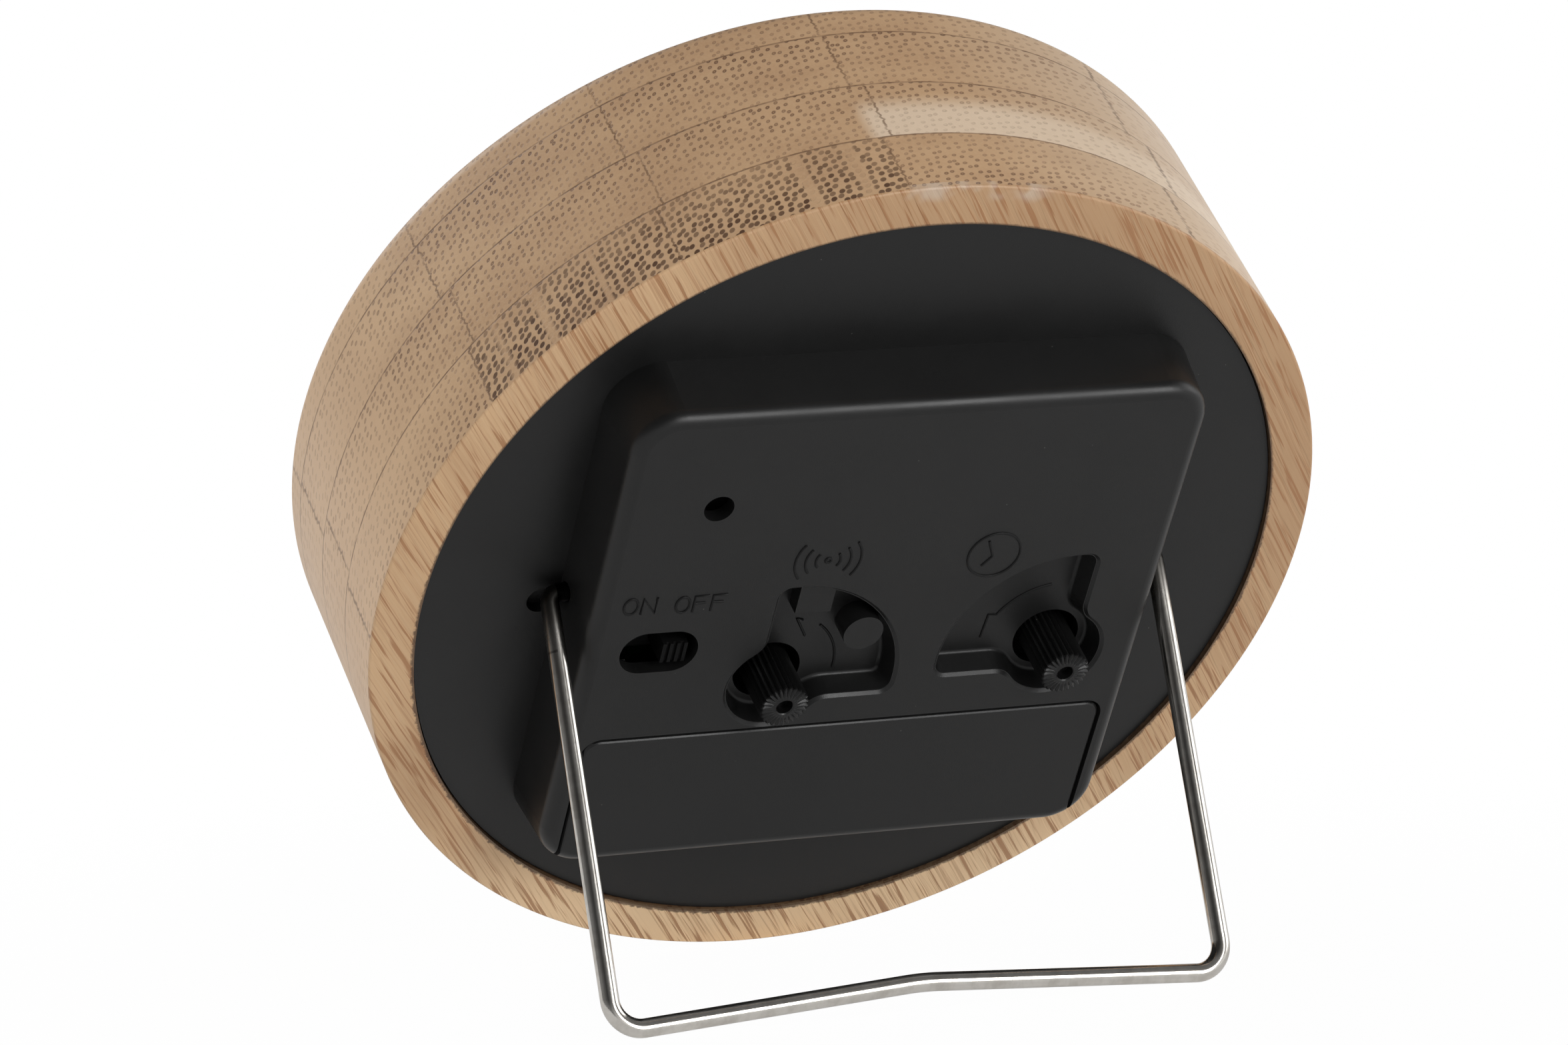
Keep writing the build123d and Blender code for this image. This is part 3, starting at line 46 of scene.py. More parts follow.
# The clock's own frame, in millimetres: x to the right as seen from behind, y up the back, z out of
# the back, from the dial axis at the rear rim. The minute hand's joint gives its place.
dial_joint = next(j for j in frame["record"]["behaviour"]["joints"] if j["name"] == "minute_turn")
DIAL_AXIS = Vector(dial_joint["pos_m"])
BACKWARD = Vector(dial_joint["axis"]).normalized()
SIDEWAYS = Vector((-1, 0, 0))
UPWARD = BACKWARD.cross(SIDEWAYS)
TURN = Matrix((SIDEWAYS, UPWARD, BACKWARD)).transposed()
MM = 0.001
CLOCK = Matrix.Translation(DIAL_AXIS) @ TURN.to_4x4() @ Matrix.Scale(MM, 4)

# Sizes that the pieces share with the solids, in millimetres
CASE_RADIUS = 50.0
CASE_DEPTH = 30.0
FRONT_ROUND = 2.4
REAR_ROUND = 0.3
REBATE_RADIUS = 45.4
REBATE_DEPTH = 2.7
BORE_RADIUS = 43.4
LIP_RADIUS = 40.8
LIP_THICKNESS = 3.0
LIP_ROUND = 0.8
BACK_Z = 7.2
FAN_FLOOR_Z = 4.6
DIAL_Z = -17.6
ALARM_AXIS = (-9.2, -6.7)
TIME_AXIS = (21.0, -5.1)
WIRE_RADIUS = 0.95
WIRE_HALF_WIDTH = 32.75
WIRE_LEG = 43.9
WIRE_ANGLE = math.radians(55.5)
WIRE_ARCH = 2.0
WIRE_AXIS_Y = 2.1
WIRE_AXIS_Z = 0.7
WIRE_PIN_X = 28.05
WIRE_BENDS = (1.2, 3.0, 30.0, 3.0, 1.2)
KNOB_RADIUS = 2.6
KNOB_GROOVE = 0.32
KNOB_TEETH = 26
KNOB_BASE_Z = 1.4
KNOB_TIP_Z = 10.4
KNOB_HOLE_RADIUS = 0.85
KNOB_HOLE_DEPTH = 1.2
ARBOR_RADIUS = 1.1
ARBOR_TIP_Z = 8.35


# Nodes of the finishes


class Signal:
    """A value in a finish's nodes. Sums, products and comparisons of it add Math nodes."""

    def __init__(self, finish, socket):
        self.finish = finish
        self.socket = socket

    def math(self, operation, first, second=0.0):
        return self.finish.node("ShaderNodeMath", {"operation": operation}, {0: first, 1: second})

    def __add__(self, other):
        return self.math("ADD", self, other)

    __radd__ = __add__

    def __sub__(self, other):
        return self.math("SUBTRACT", self, other)

    def __rsub__(self, other):
        return self.math("SUBTRACT", other, self)

    def __mul__(self, other):
        return self.math("MULTIPLY", self, other)

    __rmul__ = __mul__

    def __truediv__(self, other):
        return self.math("DIVIDE", self, other)

    def __lt__(self, other):
        return self.math("LESS_THAN", self, other)

    def __gt__(self, other):
        return self.math("GREATER_THAN", self, other)

    def __abs__(self):
        return self.math("ABSOLUTE", self)

    def floor(self):
        return self.math("FLOOR", self)

    def fract(self):
        return self.math("FRACT", self)

    def root(self):
        return self.math("SQRT", self)

    def most(self, other):
        return self.math("MAXIMUM", self, other)

    def ease(self, low, high, start=0.0, end=1.0):
        """Smooth step of the value from start at low to end at high."""
        sockets = {"Value": self, "From Min": low, "From Max": high, "To Min": start, "To Max": end}
        return self.finish.node("ShaderNodeMapRange", {"interpolation_type": "SMOOTHSTEP"}, sockets)

    def out(self, name):
        """Another output of the node that this value comes from."""
        return Signal(self.finish, self.socket.node.outputs[name])


class Nodes:
    """A node tree that calls add nodes to."""

    def __init__(self, tree):
        self.tree = tree

    def node(self, kind, settings=None, sockets=None, output=0):
        """Adds a node with its settings and its sockets' values or links, and gives one output."""
        made = self.tree.nodes.new(kind)
        for key, value in (settings or {}).items():
            setattr(made, key, value)
        for key, value in (sockets or {}).items():
            self.feed(made.inputs[key], value)
        return Signal(self, made.outputs[output])

    def feed(self, socket, value):
        if isinstance(value, Signal):
            self.tree.links.new(value.socket, socket)
        else:
            socket.default_value = value

    def split(self, vector):
        first = self.node("ShaderNodeSeparateXYZ", sockets={0: vector})
        return first, first.out("Y"), first.out("Z")

    def rays(self):
        """Marks of the rays seen straight or through glass, and of the mirrored rays."""
        camera = self.node("ShaderNodeLightPath")
        return camera.most(camera.out("Is Transmission Ray")), camera.out("Is Glossy Ray")


class Finish(Nodes):
    """A material whose nodes are added by calls."""

    def __init__(self, name):
        self.material = bpy.data.materials.new(name)
        self.material.use_nodes = True
        super().__init__(self.material.node_tree)
        self.shader = self.tree.nodes["Principled BSDF"]

    def set(self, **sockets):
        """Sets the shader's sockets, named with underscores for spaces."""
        for key, value in sockets.items():
            self.feed(self.shader.inputs[key.replace("_", " ")], value)

    def place(self):
        """The point in the clock's own frame, in millimetres."""
        point = self.node("ShaderNodeTexCoord", output="Object")
        turn = TURN.to_euler()
        sockets = {"Vector": point, "Location": DIAL_AXIS, "Rotation": turn, "Scale": (MM, MM, MM)}
        return self.node("ShaderNodeMapping", {"vector_type": "TEXTURE"}, sockets)

    def vector(self, x, y, z):
        return self.node("ShaderNodeCombineXYZ", sockets={0: x, 1: y, 2: z})

    def noise(self, vector, scale, detail, roughness=0.5):
        sockets = {"Vector": vector, "Scale": scale, "Detail": detail, "Roughness": roughness}
        return self.node("ShaderNodeTexNoise", sockets=sockets)

    def cells(self, vector, scale, randomness=1.0, dimensions="3D"):
        sockets = {"Vector": vector, "Scale": scale, "Randomness": randomness}
        return self.node("ShaderNodeTexVoronoi", {"voronoi_dimensions": dimensions}, sockets)

    def random(self, vector):
        return self.node("ShaderNodeTexWhiteNoise", {"noise_dimensions": "3D"}, {"Vector": vector})

    def blend(self, factor, first, second):
        """Colour mix."""
        settings = {"data_type": "RGBA", "clamp_factor": True}
        sockets = {0: factor, 6: opaque(first), 7: opaque(second)}
        return self.node("ShaderNodeMix", settings, sockets, output=2)

    def bump(self, height, distance, strength):
        sockets = {"Height": height, "Distance": distance, "Strength": strength}
        return self.node("ShaderNodeBump", sockets=sockets)


def opaque(colour):
    return colour if isinstance(colour, Signal) else (*colour, 1.0)


def grey(level):
    return (level, level, level)


# Bamboo

BOARD_THICKNESS = 8.2
BOARD_START = 0.2
FIRST_GLUE_Z = -4.0
STRIP_WIDTH = 22.3
STRIP_START = 1.5
GRAIN_TURN = math.radians(33.4)

# Zones of the bamboo, some of them painted light, from where each starts to change to where it has
# changed, in millimetres
# Painted light: the rear face of the ring turns paler towards the bottom, as if lit from the floor
FACE_BOUNCE_LIGHT_Y = (-46.0, -26.0)
FACE_DARK_RUN = (5.0, 48.0)
SIDE_DARK_Y = (15.0, 45.0)
# Painted sheen at the far left and at the right of the side, where glancing light pales the lacquer
LEFT_PAINTED_SHEEN_X = (-48.5, -38.0)
LEFT_PAINTED_SHEEN_Y = (2.0, 26.0)
RIGHT_PAINTED_SHEEN_X = (2.0, 30.0)
BLEACHED_X = (-6.5, -4.5)
SMEAR_X = 2.0
SMEAR_REACH = (5.5, 9.0)
SMEAR_RADIUS = (47.8, 49.3)
SMEAR_Z = -0.8
REBATE_DARK_Y = (-10.0, 20.0)

# Colours of the bamboo, and of the light painted on it
STRAW = (0.600, 0.385, 0.210)
TAN = (0.500, 0.305, 0.160)
RICH_BROWN = (0.330, 0.185, 0.095)
FIBRE_PALE = (0.660, 0.470, 0.290)
# Painted light from the floor on the lower rear face
FACE_BOUNCE_LIGHT = (0.860, 0.630, 0.390)
FACE_DARK = (0.360, 0.205, 0.100)
SIDE_DARK = (0.360, 0.215, 0.125)
# Colours of the painted sheen at the left and right of the side
LEFT_PAINTED_SHEEN = (0.680, 0.475, 0.305)
RIGHT_PAINTED_SHEEN = (0.670, 0.515, 0.365)
BLEACHED = (0.740, 0.590, 0.440)
BUNDLE_BROWN = (0.160, 0.080, 0.042)
BOLD_BROWN = (0.095, 0.045, 0.022)
STREAK_BROWN = (0.320, 0.140, 0.052)
GLUE_BROWN = (0.130, 0.062, 0.028)
SMEAR_GREY = (0.560, 0.460, 0.370)
REBATE_DARK_BLACK = (0.055, 0.025, 0.011)


class Grain:
    """Where a point of the bamboo lies: its board, its strip, and how the grain shows there."""

    def __init__(self, f):
        self.x, self.y, self.z = f.split(f.place())
        self.radius = (self.x * self.x + self.y * self.y).root()
        self.across = self.x * math.cos(GRAIN_TURN) + self.y * math.sin(GRAIN_TURN)
        self.along = self.y * math.cos(GRAIN_TURN) - self.x * math.sin(GRAIN_TURN)
        self.on_side = self.z < -REAR_ROUND
        self.on_face = 1 - self.on_side
        self.end_grain = (abs(self.along) / self.radius * self.on_side).ease(0.15, 0.75)
        self.find_board()
        self.find_strip(f)
        self.find_richness(f)

    def find_board(self):
        """The board, counted from the rear, and the place in its thickness."""
        depth = (self.z + BOARD_START) / -BOARD_THICKNESS
        self.board = depth.floor().most(0.0)
        self.in_board = depth - self.board
        self.rear_board = self.board < 0.5

    def find_strip(self, f):
        """The strip, with jagged joints that shift from board to board, and its wandering fibres."""
        jag = f.noise(f.vector(self.z * 1.6, self.board * 13.0, 4.0), 1.0, 3.0, 0.7) - 0.5
        shift = f.random(f.vector(self.board + 0.6, 5.2, 1.0)) - 0.5
        place = (self.across - STRIP_START + jag * 1.1 + shift * 1.8) / STRIP_WIDTH
        self.strip = place.floor()
        self.in_strip = place.fract()
        self.bold = self.rear_board * (self.strip > -1.5) * (self.strip < 0.5)
        sideways = f.vector(self.along * 0.05, self.strip * 9.0, self.board * 7.0)
        self.sway = f.noise(sideways, 1.0, 2.0) - 0.5
        upwards = f.vector(self.along * 0.07, self.strip * 5.0, self.board * 11.0 + 20.0)
        self.lift = f.noise(upwards, 1.0, 2.0) - 0.5

    def find_richness(self, f):
        """How dark the bundles are, which grows towards one side of a board and in the bold strips."""
        tone = f.random(f.vector(self.board + 3.7, self.strip + 0.3, 2.0))
        skin = abs(self.in_board - self.rear_board)
        spot = f.vector(self.across * 0.11, self.z * 0.10 + self.board * 9.0, self.along * 0.03)
        patch = f.noise(spot, 1.0, 2.0)
        self.rich = skin * 0.66 + patch * 0.5 - 0.28 + self.bold * 0.34 + (tone - 0.5) * 0.25


def bundle_dots(f, grain):
    """Dots of the fibre bundles on the side, and how strongly each one shows."""
    pitch = 1 + grain.rear_board * 0.04
    spot_x = (grain.across + grain.sway * 1.6 + grain.strip * 7.37) * pitch
    spot_z = (grain.z + grain.lift * 1.4 + grain.board * 5.61 + grain.across * 0.30) * pitch
    bundle = f.cells(f.vector(spot_x, spot_z, 0.0), 1.18, 0.52, "2D")
    gap = f.noise(f.vector(grain.across * 0.42, grain.board * 17.0, grain.along * 0.02), 1.0, 1.0)
    shade = grain.rich.ease(-0.10, 0.75, 0.46, 1.0) * (1 - gap.ease(0.58, 0.65) * grain.bold * 0.95)
    reach = grain.bold * 0.10 + grain.rich * 0.05 + 0.235
    dot = 1 - (bundle - reach).ease(-0.07, 0.06)
    core = bundle.ease(0.02, 0.14, 0.50, 1.0).most(grain.bold)
    wear = f.random(bundle.out("Color")).ease(0.0, 1.0, 0.7, 1.0)
    return dot, dot * core * shade * wear * grain.end_grain.ease(0.0, 1.0, 0.7, 1.0)


def face_streaks(f, grain):
    """Streaks of the fibre bundles that run along the rear face."""
    streak = f.noise(f.vector(grain.across * 2.2, grain.along * 0.07, 3.0), 1.0, 2.0, 0.6)
    hair = f.noise(f.vector(grain.across * 4.2, grain.along * 0.05, 8.0), 1.0, 2.0)
    return streak.ease(0.54, 0.62).most(hair.ease(0.54, 0.64) * 0.5) * 0.78


def bamboo_ground(f, grain, fibre):
    """Colour between the bundles, with painted light low on the rear face and a painted sheen at the far
    left and right of the side, and the mark of the pale zones of the side.
    """
    x, y = grain.x, grain.y
    cloud = f.noise(f.vector(grain.across * 0.10, grain.z * 0.2, grain.along * 0.03), 1.0, 3.0)
    ground = f.blend(cloud.ease(0.3, 0.7), STRAW, TAN)
    deep = grain.rich.ease(0.3, 1.1) * 0.45 * (1 - grain.bold * 0.8)
    ground = f.blend(deep * grain.on_side, ground, RICH_BROWN)
    ground = f.blend(fibre.ease(0.30, 0.75) * 0.35, ground, FIBRE_PALE)
    # Painted light: the rear face is painted paler towards the bottom, as if lit from the floor
    ground = f.blend(y.ease(*FACE_BOUNCE_LIGHT_Y, 0.9, 0.0) * grain.on_face, ground, FACE_BOUNCE_LIGHT)
    ground = f.blend((y + x * 0.8).ease(*FACE_DARK_RUN) * grain.on_face * 0.55, ground, FACE_DARK)
    ground = f.blend(y.ease(*SIDE_DARK_Y) * grain.on_side * 0.30, ground, SIDE_DARK)
    # Painted sheen: the far left and the right of the side are painted paler, as glancing light on the
    # lacquer
    left = x.ease(*LEFT_PAINTED_SHEEN_X, 0.75, 0.0) * y.ease(*LEFT_PAINTED_SHEEN_Y, 1.0, 0.3)
    right = x.ease(*RIGHT_PAINTED_SHEEN_X, 0.0, 0.7)
    second_board = abs(grain.board - 1.0) < 0.5
    bleached = second_board * grain.in_board.ease(0.40, 0.80, 0.8, 0.0) * x.ease(*BLEACHED_X)
    for zone, colour in ((left, LEFT_PAINTED_SHEEN), (right, RIGHT_PAINTED_SHEEN), (bleached, BLEACHED)):
        ground = f.blend(zone * grain.on_side, ground, colour)
    return ground, left.most(right).most(bleached) * grain.on_side


def glue_lines(grain):
    """Glue between the boards, and between the strips of a board."""
    board_edge = abs(grain.in_board - 0.5) * (grain.z < FIRST_GLUE_Z)
    strip_edge = abs(grain.in_strip - 0.5) * grain.on_side
    return board_edge.ease(0.482, 0.494).most(strip_edge.ease(0.4925, 0.498) * 0.9)


def glue_smears(f, grain):
    """Pale smears of glue at the top of the rear edge."""
    spilt = f.noise(f.vector(grain.x * 0.22, grain.y * 0.22, 2.0), 1.0, 2.0).ease(0.46, 0.58)
    at_edge = grain.radius.ease(*SMEAR_RADIUS) * (grain.z > SMEAR_Z)
    at_top = abs(grain.x - SMEAR_X).ease(*SMEAR_REACH, 1.0, 0.0) * (grain.y > 0.0)
    return spilt * at_edge * at_top


def scorched_edge(f, grain):
    """Ragged dark edge of the rebate, wider low down."""
    ragged = f.noise(f.vector(grain.x, grain.y, grain.z), 1.4, 3.0, 0.7)
    low = grain.y.ease(*REBATE_DARK_Y, 1.0, 0.3)
    outside = grain.radius - REBATE_RADIUS - ragged * low * 0.9 + low * 0.25
    return (1 - outside.ease(-0.05, 0.25)) * (grain.z > -REBATE_DEPTH)


def bamboo():
    """Laminated bamboo, in boards that are glued up from strips."""
    f = Finish("laminated_bamboo")
    grain = Grain(f)
    run = f.vector(grain.across * 3.6 + grain.sway * 4.0, grain.z * 3.6, grain.along * 0.10)
    fibre = f.noise(run, 1.0, 3.0, 0.65)
    dot, side_mark = bundle_dots(f, grain)
    mark = side_mark * grain.on_side + face_streaks(f, grain) * grain.on_face
    ground, pale = bamboo_ground(f, grain, fibre)
    bundle_tone = f.blend(grain.bold, BUNDLE_BROWN, BOLD_BROWN)
    dark = f.blend(grain.end_grain, STREAK_BROWN, bundle_tone)
    # The painted sheen at the sides and the bleached zone also fade the bundle marks
    wood = f.blend(mark * (1 - pale * 0.7), ground, dark)
    glue = glue_lines(grain)
    broken = f.noise(f.vector(grain.x, grain.y, grain.z), 0.5, 2.0).ease(0.30, 0.60, 0.35, 1.0)
    wood = f.blend(glue * broken * 0.75, wood, GLUE_BROWN)
    wood = f.blend(glue_smears(f, grain) * 0.60, wood, SMEAR_GREY)
    # The edge of the rebate is darkened, ragged and wider low down, where the disc meets the ring
    wood = f.blend(scorched_edge(f, grain) * 0.85, wood, REBATE_DARK_BLACK)
    height = fibre * 0.3 - dot * 0.5 - glue * 0.5
    f.set(
        Base_Color=wood,
        Roughness=fibre.ease(0.2, 0.8, 0.38, 0.54),
        Normal=f.bump(height, 0.00010, 0.5),
    )
    f.set(Specular_IOR_Level=0.4, Coat_Weight=0.15, Coat_Roughness=0.25)
    return f.material


# Plastics

DOOR_TOP_Y = -12.45
DOOR_TOP_REACH = 0.31
DOOR_SIDE_X = 28.2
DOOR_SIDE_REACH = 0.22
DOOR_CORNER_REACH = 0.2
DOOR_EDGE_Z = 7.07
DOOR_GAP_DEPTH = 3.0
DUST_GREY = (0.30, 0.29, 0.27)
# Near black painted into the door's gap as painted shade
GAP_SHADE_BLACK = grey(0.0005)


def door_gap(f):
    """Mask of painted shade, one on the faces inside the narrow gap round the battery door."""
    x, y, z = f.split(f.place())
    top = (abs(y - DOOR_TOP_Y) < DOOR_TOP_REACH) * (abs(x) < DOOR_SIDE_X + DOOR_CORNER_REACH)
    sides = (abs(abs(x) - DOOR_SIDE_X) < DOOR_SIDE_REACH) * (y < DOOR_TOP_Y)
    return top.most(sides) * (z < DOOR_EDGE_Z) * (z > BACK_Z - DOOR_GAP_DEPTH)


def moulded(name, colour, roughness, depth=0.00002, gloss=0.4, door=False):
    """Satin moulded plastic with a fine grain and handling wear, and painted shade in the gap round the
    battery door if it has the door.
    """
    f = Finish(name)
    point = f.place()
    grain = f.noise(point, 9.0, 3.0, 0.6)
    haze = f.noise(point, 0.07, 4.0, 0.6)
    dust = 1 - f.cells(point, 0.30).ease(0.012, 0.022)
    lighter = tuple(min(1, c * 1.20 + 0.001) for c in colour)
    tint = f.blend(haze.ease(0.3, 0.7), colour, lighter)
    tint = f.blend(dust * 0.25, tint, DUST_GREY)
    rough = haze.ease(0.25, 0.75, roughness - 0.05, roughness + 0.07) + grain * 0.06
    if door:
        # Painted shade: the narrow gap round the battery door is painted near black and made rough
        shade_in_gap = door_gap(f)
        tint = f.blend(shade_in_gap, tint, GAP_SHADE_BLACK)
        rough = rough + shade_in_gap
    f.set(Base_Color=tint, Roughness=rough, Normal=f.bump(grain, depth, 0.5))
    f.set(Specular_IOR_Level=gloss)
    return f.material


# Metals

# Reach of the painted shade at the wire's hinge ends, in millimetres from the hinge line
WIRE_END_SHADE_REACH = (1.0, 9.0)
WIRE_PIN_INSET = 0.6
WIRE_PIN_REACH = 2.0
WIRE_NICK_REACH = 6.1
WIRE_NICK_EDGE = (0.05, 0.25)
WIRE_NICK_X = -33.0
STEEL_BRIGHT = (0.63, 0.605, 0.565)
STEEL_STAINED = (0.50, 0.47, 0.43)
# Dark steel for the painted shade of the wire's ends and for the nick, and black for the painted shadow
# on the pins
STEEL_SHADE_AND_NICK = (0.030, 0.028, 0.025)
PIN_SHADOW_BLACK = grey(0.004)


def metal(name, colour, roughness, streak=(0.6, 0.6, 0.6)):
    """Bright metal with fine tool marks. The streak says how close they lie along each axis."""
    f = Finish(name)
    x, y, z = f.split(f.place())
    mark = f.noise(f.vector(x * streak[0], y * streak[1], z * streak[2]), 6.0, 3.0, 0.6)
    darker = tuple(c * 0.86 for c in colour)
    f.set(
        Base_Color=f.blend(mark.ease(0.3, 0.7), darker, colour),
        Metallic=1.0,
        Roughness=mark.ease(0.2, 0.8, roughness - 0.06, roughness + 0.08),
        Normal=f.bump(mark, 0.000004, 0.4),
    )
    return f.material


def drawn_wire():
    """Drawn and polished steel wire, with die lines along its length, its ends darkened towards the
    hinge as painted shade, and its pins painted black as painted shadow inside the housing.
    """
    f = Finish("drawn_steel_wire")
    u, v, _ = f.split(f.node("ShaderNodeUVMap", {"uv_map": "wire"}))
    x, y, z = f.split(f.place())
    up, out = y - WIRE_AXIS_Y, z - WIRE_AXIS_Z
    reach = (up * up + out * out).root()
    # Painted shade: the wire darkens towards the hinge for the hole's shade and the dark back it
    # mirrors, and the pins inside the housing are painted black as painted shadow
    end_shade = reach.ease(*WIRE_END_SHADE_REACH, 0.97, 0.0)
    pin = (abs(x) < WIRE_HALF_WIDTH - WIRE_PIN_INSET) * (reach < WIRE_PIN_REACH)
    nick = (1 - abs(reach - WIRE_NICK_REACH).ease(*WIRE_NICK_EDGE)) * (x < WIRE_NICK_X)
    line = f.noise(f.vector(u * 34.0, v * 0.06, 0.0), 1.0, 3.0, 0.7)
    stain = f.noise(f.vector(u * 2.0, v * 0.5, 5.0), 1.0, 3.0, 0.6)
    steel = f.blend(stain.ease(0.35, 0.75), STEEL_BRIGHT, STEEL_STAINED)
    steel = f.blend(end_shade.most(nick * 0.7), steel, STEEL_SHADE_AND_NICK)
    f.set(
        Base_Color=f.blend(pin, steel, PIN_SHADOW_BLACK),
        Metallic=1.0,
        Roughness=line.ease(0.25, 0.75, 0.09, 0.19) + stain * 0.03 + end_shade * 0.2,
        Normal=f.bump(line, 0.000005, 0.4),
    )
    return f.material


# Lens, card and cell

CELL_BAND_X = (15.5, 15.7)
CELL_END_X = (24.15, 24.25)
CELL_DARK = (0.018, 0.020, 0.024)
CELL_SCUFF = (0.09, 0.09, 0.10)
CELL_COPPER = (0.62, 0.30, 0.12)
CELL_BARE = (0.62, 0.62, 0.61)


def clear_lens():
    """Clear lens with faint smears."""
    f = Finish("clear_lens")
    smear = f.noise(f.place(), 0.12, 3.0, 0.6)
    f.set(Base_Color=(0.96, 0.98, 0.98, 1.0), Roughness=smear.ease(0.3, 0.8, 0.0, 0.05))
    f.set(Transmission_Weight=1.0, IOR=1.46)
    return f.material


def printed_card(name, colour):
    """Matt card with a little mottle."""
    f = Finish(name)
    point = f.place()
    fibre = f.noise(point, 2.2, 4.0, 0.65)
    mottle = f.noise(point, 0.09, 3.0)
    darker = tuple(c * 0.94 for c in colour)
    f.set(
        Base_Color=f.blend(mottle.ease(0.3, 0.7), colour, darker),
        Roughness=fibre.ease(0.2, 0.8, 0.55, 0.72),
        Normal=f.bump(fibre, 0.00001, 0.4),
    )
    return f.material


def cell_sleeve():
    """Printed sleeve of a plain dry cell: a dark body with a coppery band and bare ends."""
    f = Finish("cell_sleeve")
    point = f.place()
    x, _, _ = f.split(point)
    scuff = f.noise(point, 0.8, 4.0, 0.6)
    band = x.ease(*CELL_BAND_X)
    bare = abs(x).ease(*CELL_END_X)
    sleeve = f.blend(scuff.ease(0.4, 0.8) * 0.2, CELL_DARK, CELL_SCUFF)
    sleeve = f.blend(band, sleeve, CELL_COPPER)
    f.set(
        Base_Color=f.blend(bare, sleeve, CELL_BARE),
        Metallic=band.most(bare),
        Roughness=scuff.ease(0.2, 0.8, 0.26, 0.40),
    )
    return f.material


# Finish of each material slot, and of what differs from its slot

FINISHES = {
    "bamboo": bamboo(),
    "black_plastic": moulded("black_satin_plastic", grey(0.0060), 0.33, gloss=0.32, door=True),
    "knob_plastic": moulded("black_knob_plastic", grey(0.0045), 0.32, gloss=0.30),
    "steel_wire": drawn_wire(),
    "clear_lens": clear_lens(),
    "dial_print": printed_card("dial_card", (0.80, 0.785, 0.74)),
    "ring_plastic": moulded("pale_ring_plastic", (0.74, 0.72, 0.67), 0.5),
    "hand_black": moulded("black_hand_paint", grey(0.012), 0.35),
    "hand_red": moulded("red_hand_paint", (0.52, 0.025, 0.02), 0.35),
    "brass": metal("turned_brass", (0.78, 0.58, 0.25), 0.28),
    "movement_plastic": moulded("movement_plastic", grey(0.008), 0.5, gloss=0.2),
    "gear_plastic": moulded("gear_plastic", (0.76, 0.75, 0.70), 0.45),
    "steel_small": metal("plated_steel", (0.60, 0.60, 0.59), 0.3),
    "magnet": metal("sintered_magnet", (0.14, 0.14, 0.15), 0.5),
    "copper": metal("enamelled_copper", (0.70, 0.27, 0.10), 0.3, (6.0, 0.5, 0.5)),
    "board_green": moulded("board_lacquer", (0.008, 0.020, 0.012), 0.35),
    "chip_black": moulded("cast_resin", grey(0.012), 0.3),
    "buzzer_black": moulded("buzzer_shell", grey(0.02), 0.3),
    "contact_plate": metal("nickel_plate", (0.66, 0.64, 0.60), 0.25),
    "cell_wrap": cell_sleeve(),
}
INK = moulded("dial_ink", (0.012, 0.012, 0.013), 0.5, 0.000005)
# The marks are real raised strokes in a darker, duller plastic than the back; the darker colour is
# painted shade of the moulded strokes
SHADED_MARK_FINISH = moulded("shaded_mark_finish", grey(0.0045), 0.42, gloss=0.18)
# The slider is duller than the knobs, and its darker colour is painted shade of its slot
SHADED_SLIDER_FINISH = moulded("shaded_slider_finish", grey(0.0030), 0.6, gloss=0.10)
NODE_FINISHES = {"switch_slider": SHADED_SLIDER_FINISH}


# Meshes


def piece(name, mesh, finish, body, replaced=None):
    """Puts a mesh, made in the clock's frame in millimetres, into the scene as a piece of a body."""
    mesh.transform(CLOCK)
    mesh.materials.clear()
    mesh.materials.append(finish)
    made = bpy.data.objects.new(name, mesh)
    scene.collection.objects.link(made)
    if replaced:
        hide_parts(replaced)
    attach(made, body)


def to_mesh(name, bm, smooth):
    """Closes a bmesh into a mesh, shaded smooth up to an angle in degrees."""
    bmesh.ops.recalc_face_normals(bm, faces=bm.faces)
    mesh = bpy.data.meshes.new(name)
    bm.to_mesh(mesh)
    bm.free()
    mesh.shade_smooth()
    mesh.set_sharp_from_angle(angle=math.radians(smooth))
    return mesh


def shown_mesh(holder):
    """Plain mesh of what an object shows. The object is then removed."""
    scene.collection.objects.link(holder)
    shown = holder.evaluated_get(bpy.context.evaluated_depsgraph_get())
    mesh = bpy.data.meshes.new_from_object(shown)
    bpy.data.objects.remove(holder)
    return mesh


def arc(cx, cy, radius, start, end, steps):
    """Points of an arc between angles in degrees."""
    angles = [math.radians(start + (end - start) * i / steps) for i in range(steps + 1)]
    return [(cx + radius * math.cos(a), cy + radius * math.sin(a)) for a in angles]


def circle(cx, cy, radius, points):
    """Evenly spaced points of a circle."""
    return arc(cx, cy, radius, 0, 360 - 360 / points, points - 1)


def turned(name, profile, segments):
    """Solid of revolution about the dial axis from a closed profile of (radius, z) points."""
    bm = bmesh.new()
    rings = []
    for step in range(segments):
        angle = 2 * math.pi * step / segments
        points = [(r * math.cos(angle), r * math.sin(angle), z) for r, z in profile]
        rings.append([bm.verts.new(point) for point in points])
    for step in range(segments):
        near, far = rings[step], rings[(step + 1) % segments]
        for i in range(len(profile)):
            j = (i + 1) % len(profile)
            bm.faces.new((near[i], far[i], far[j], near[j]))
    return to_mesh(name, bm, smooth=35)


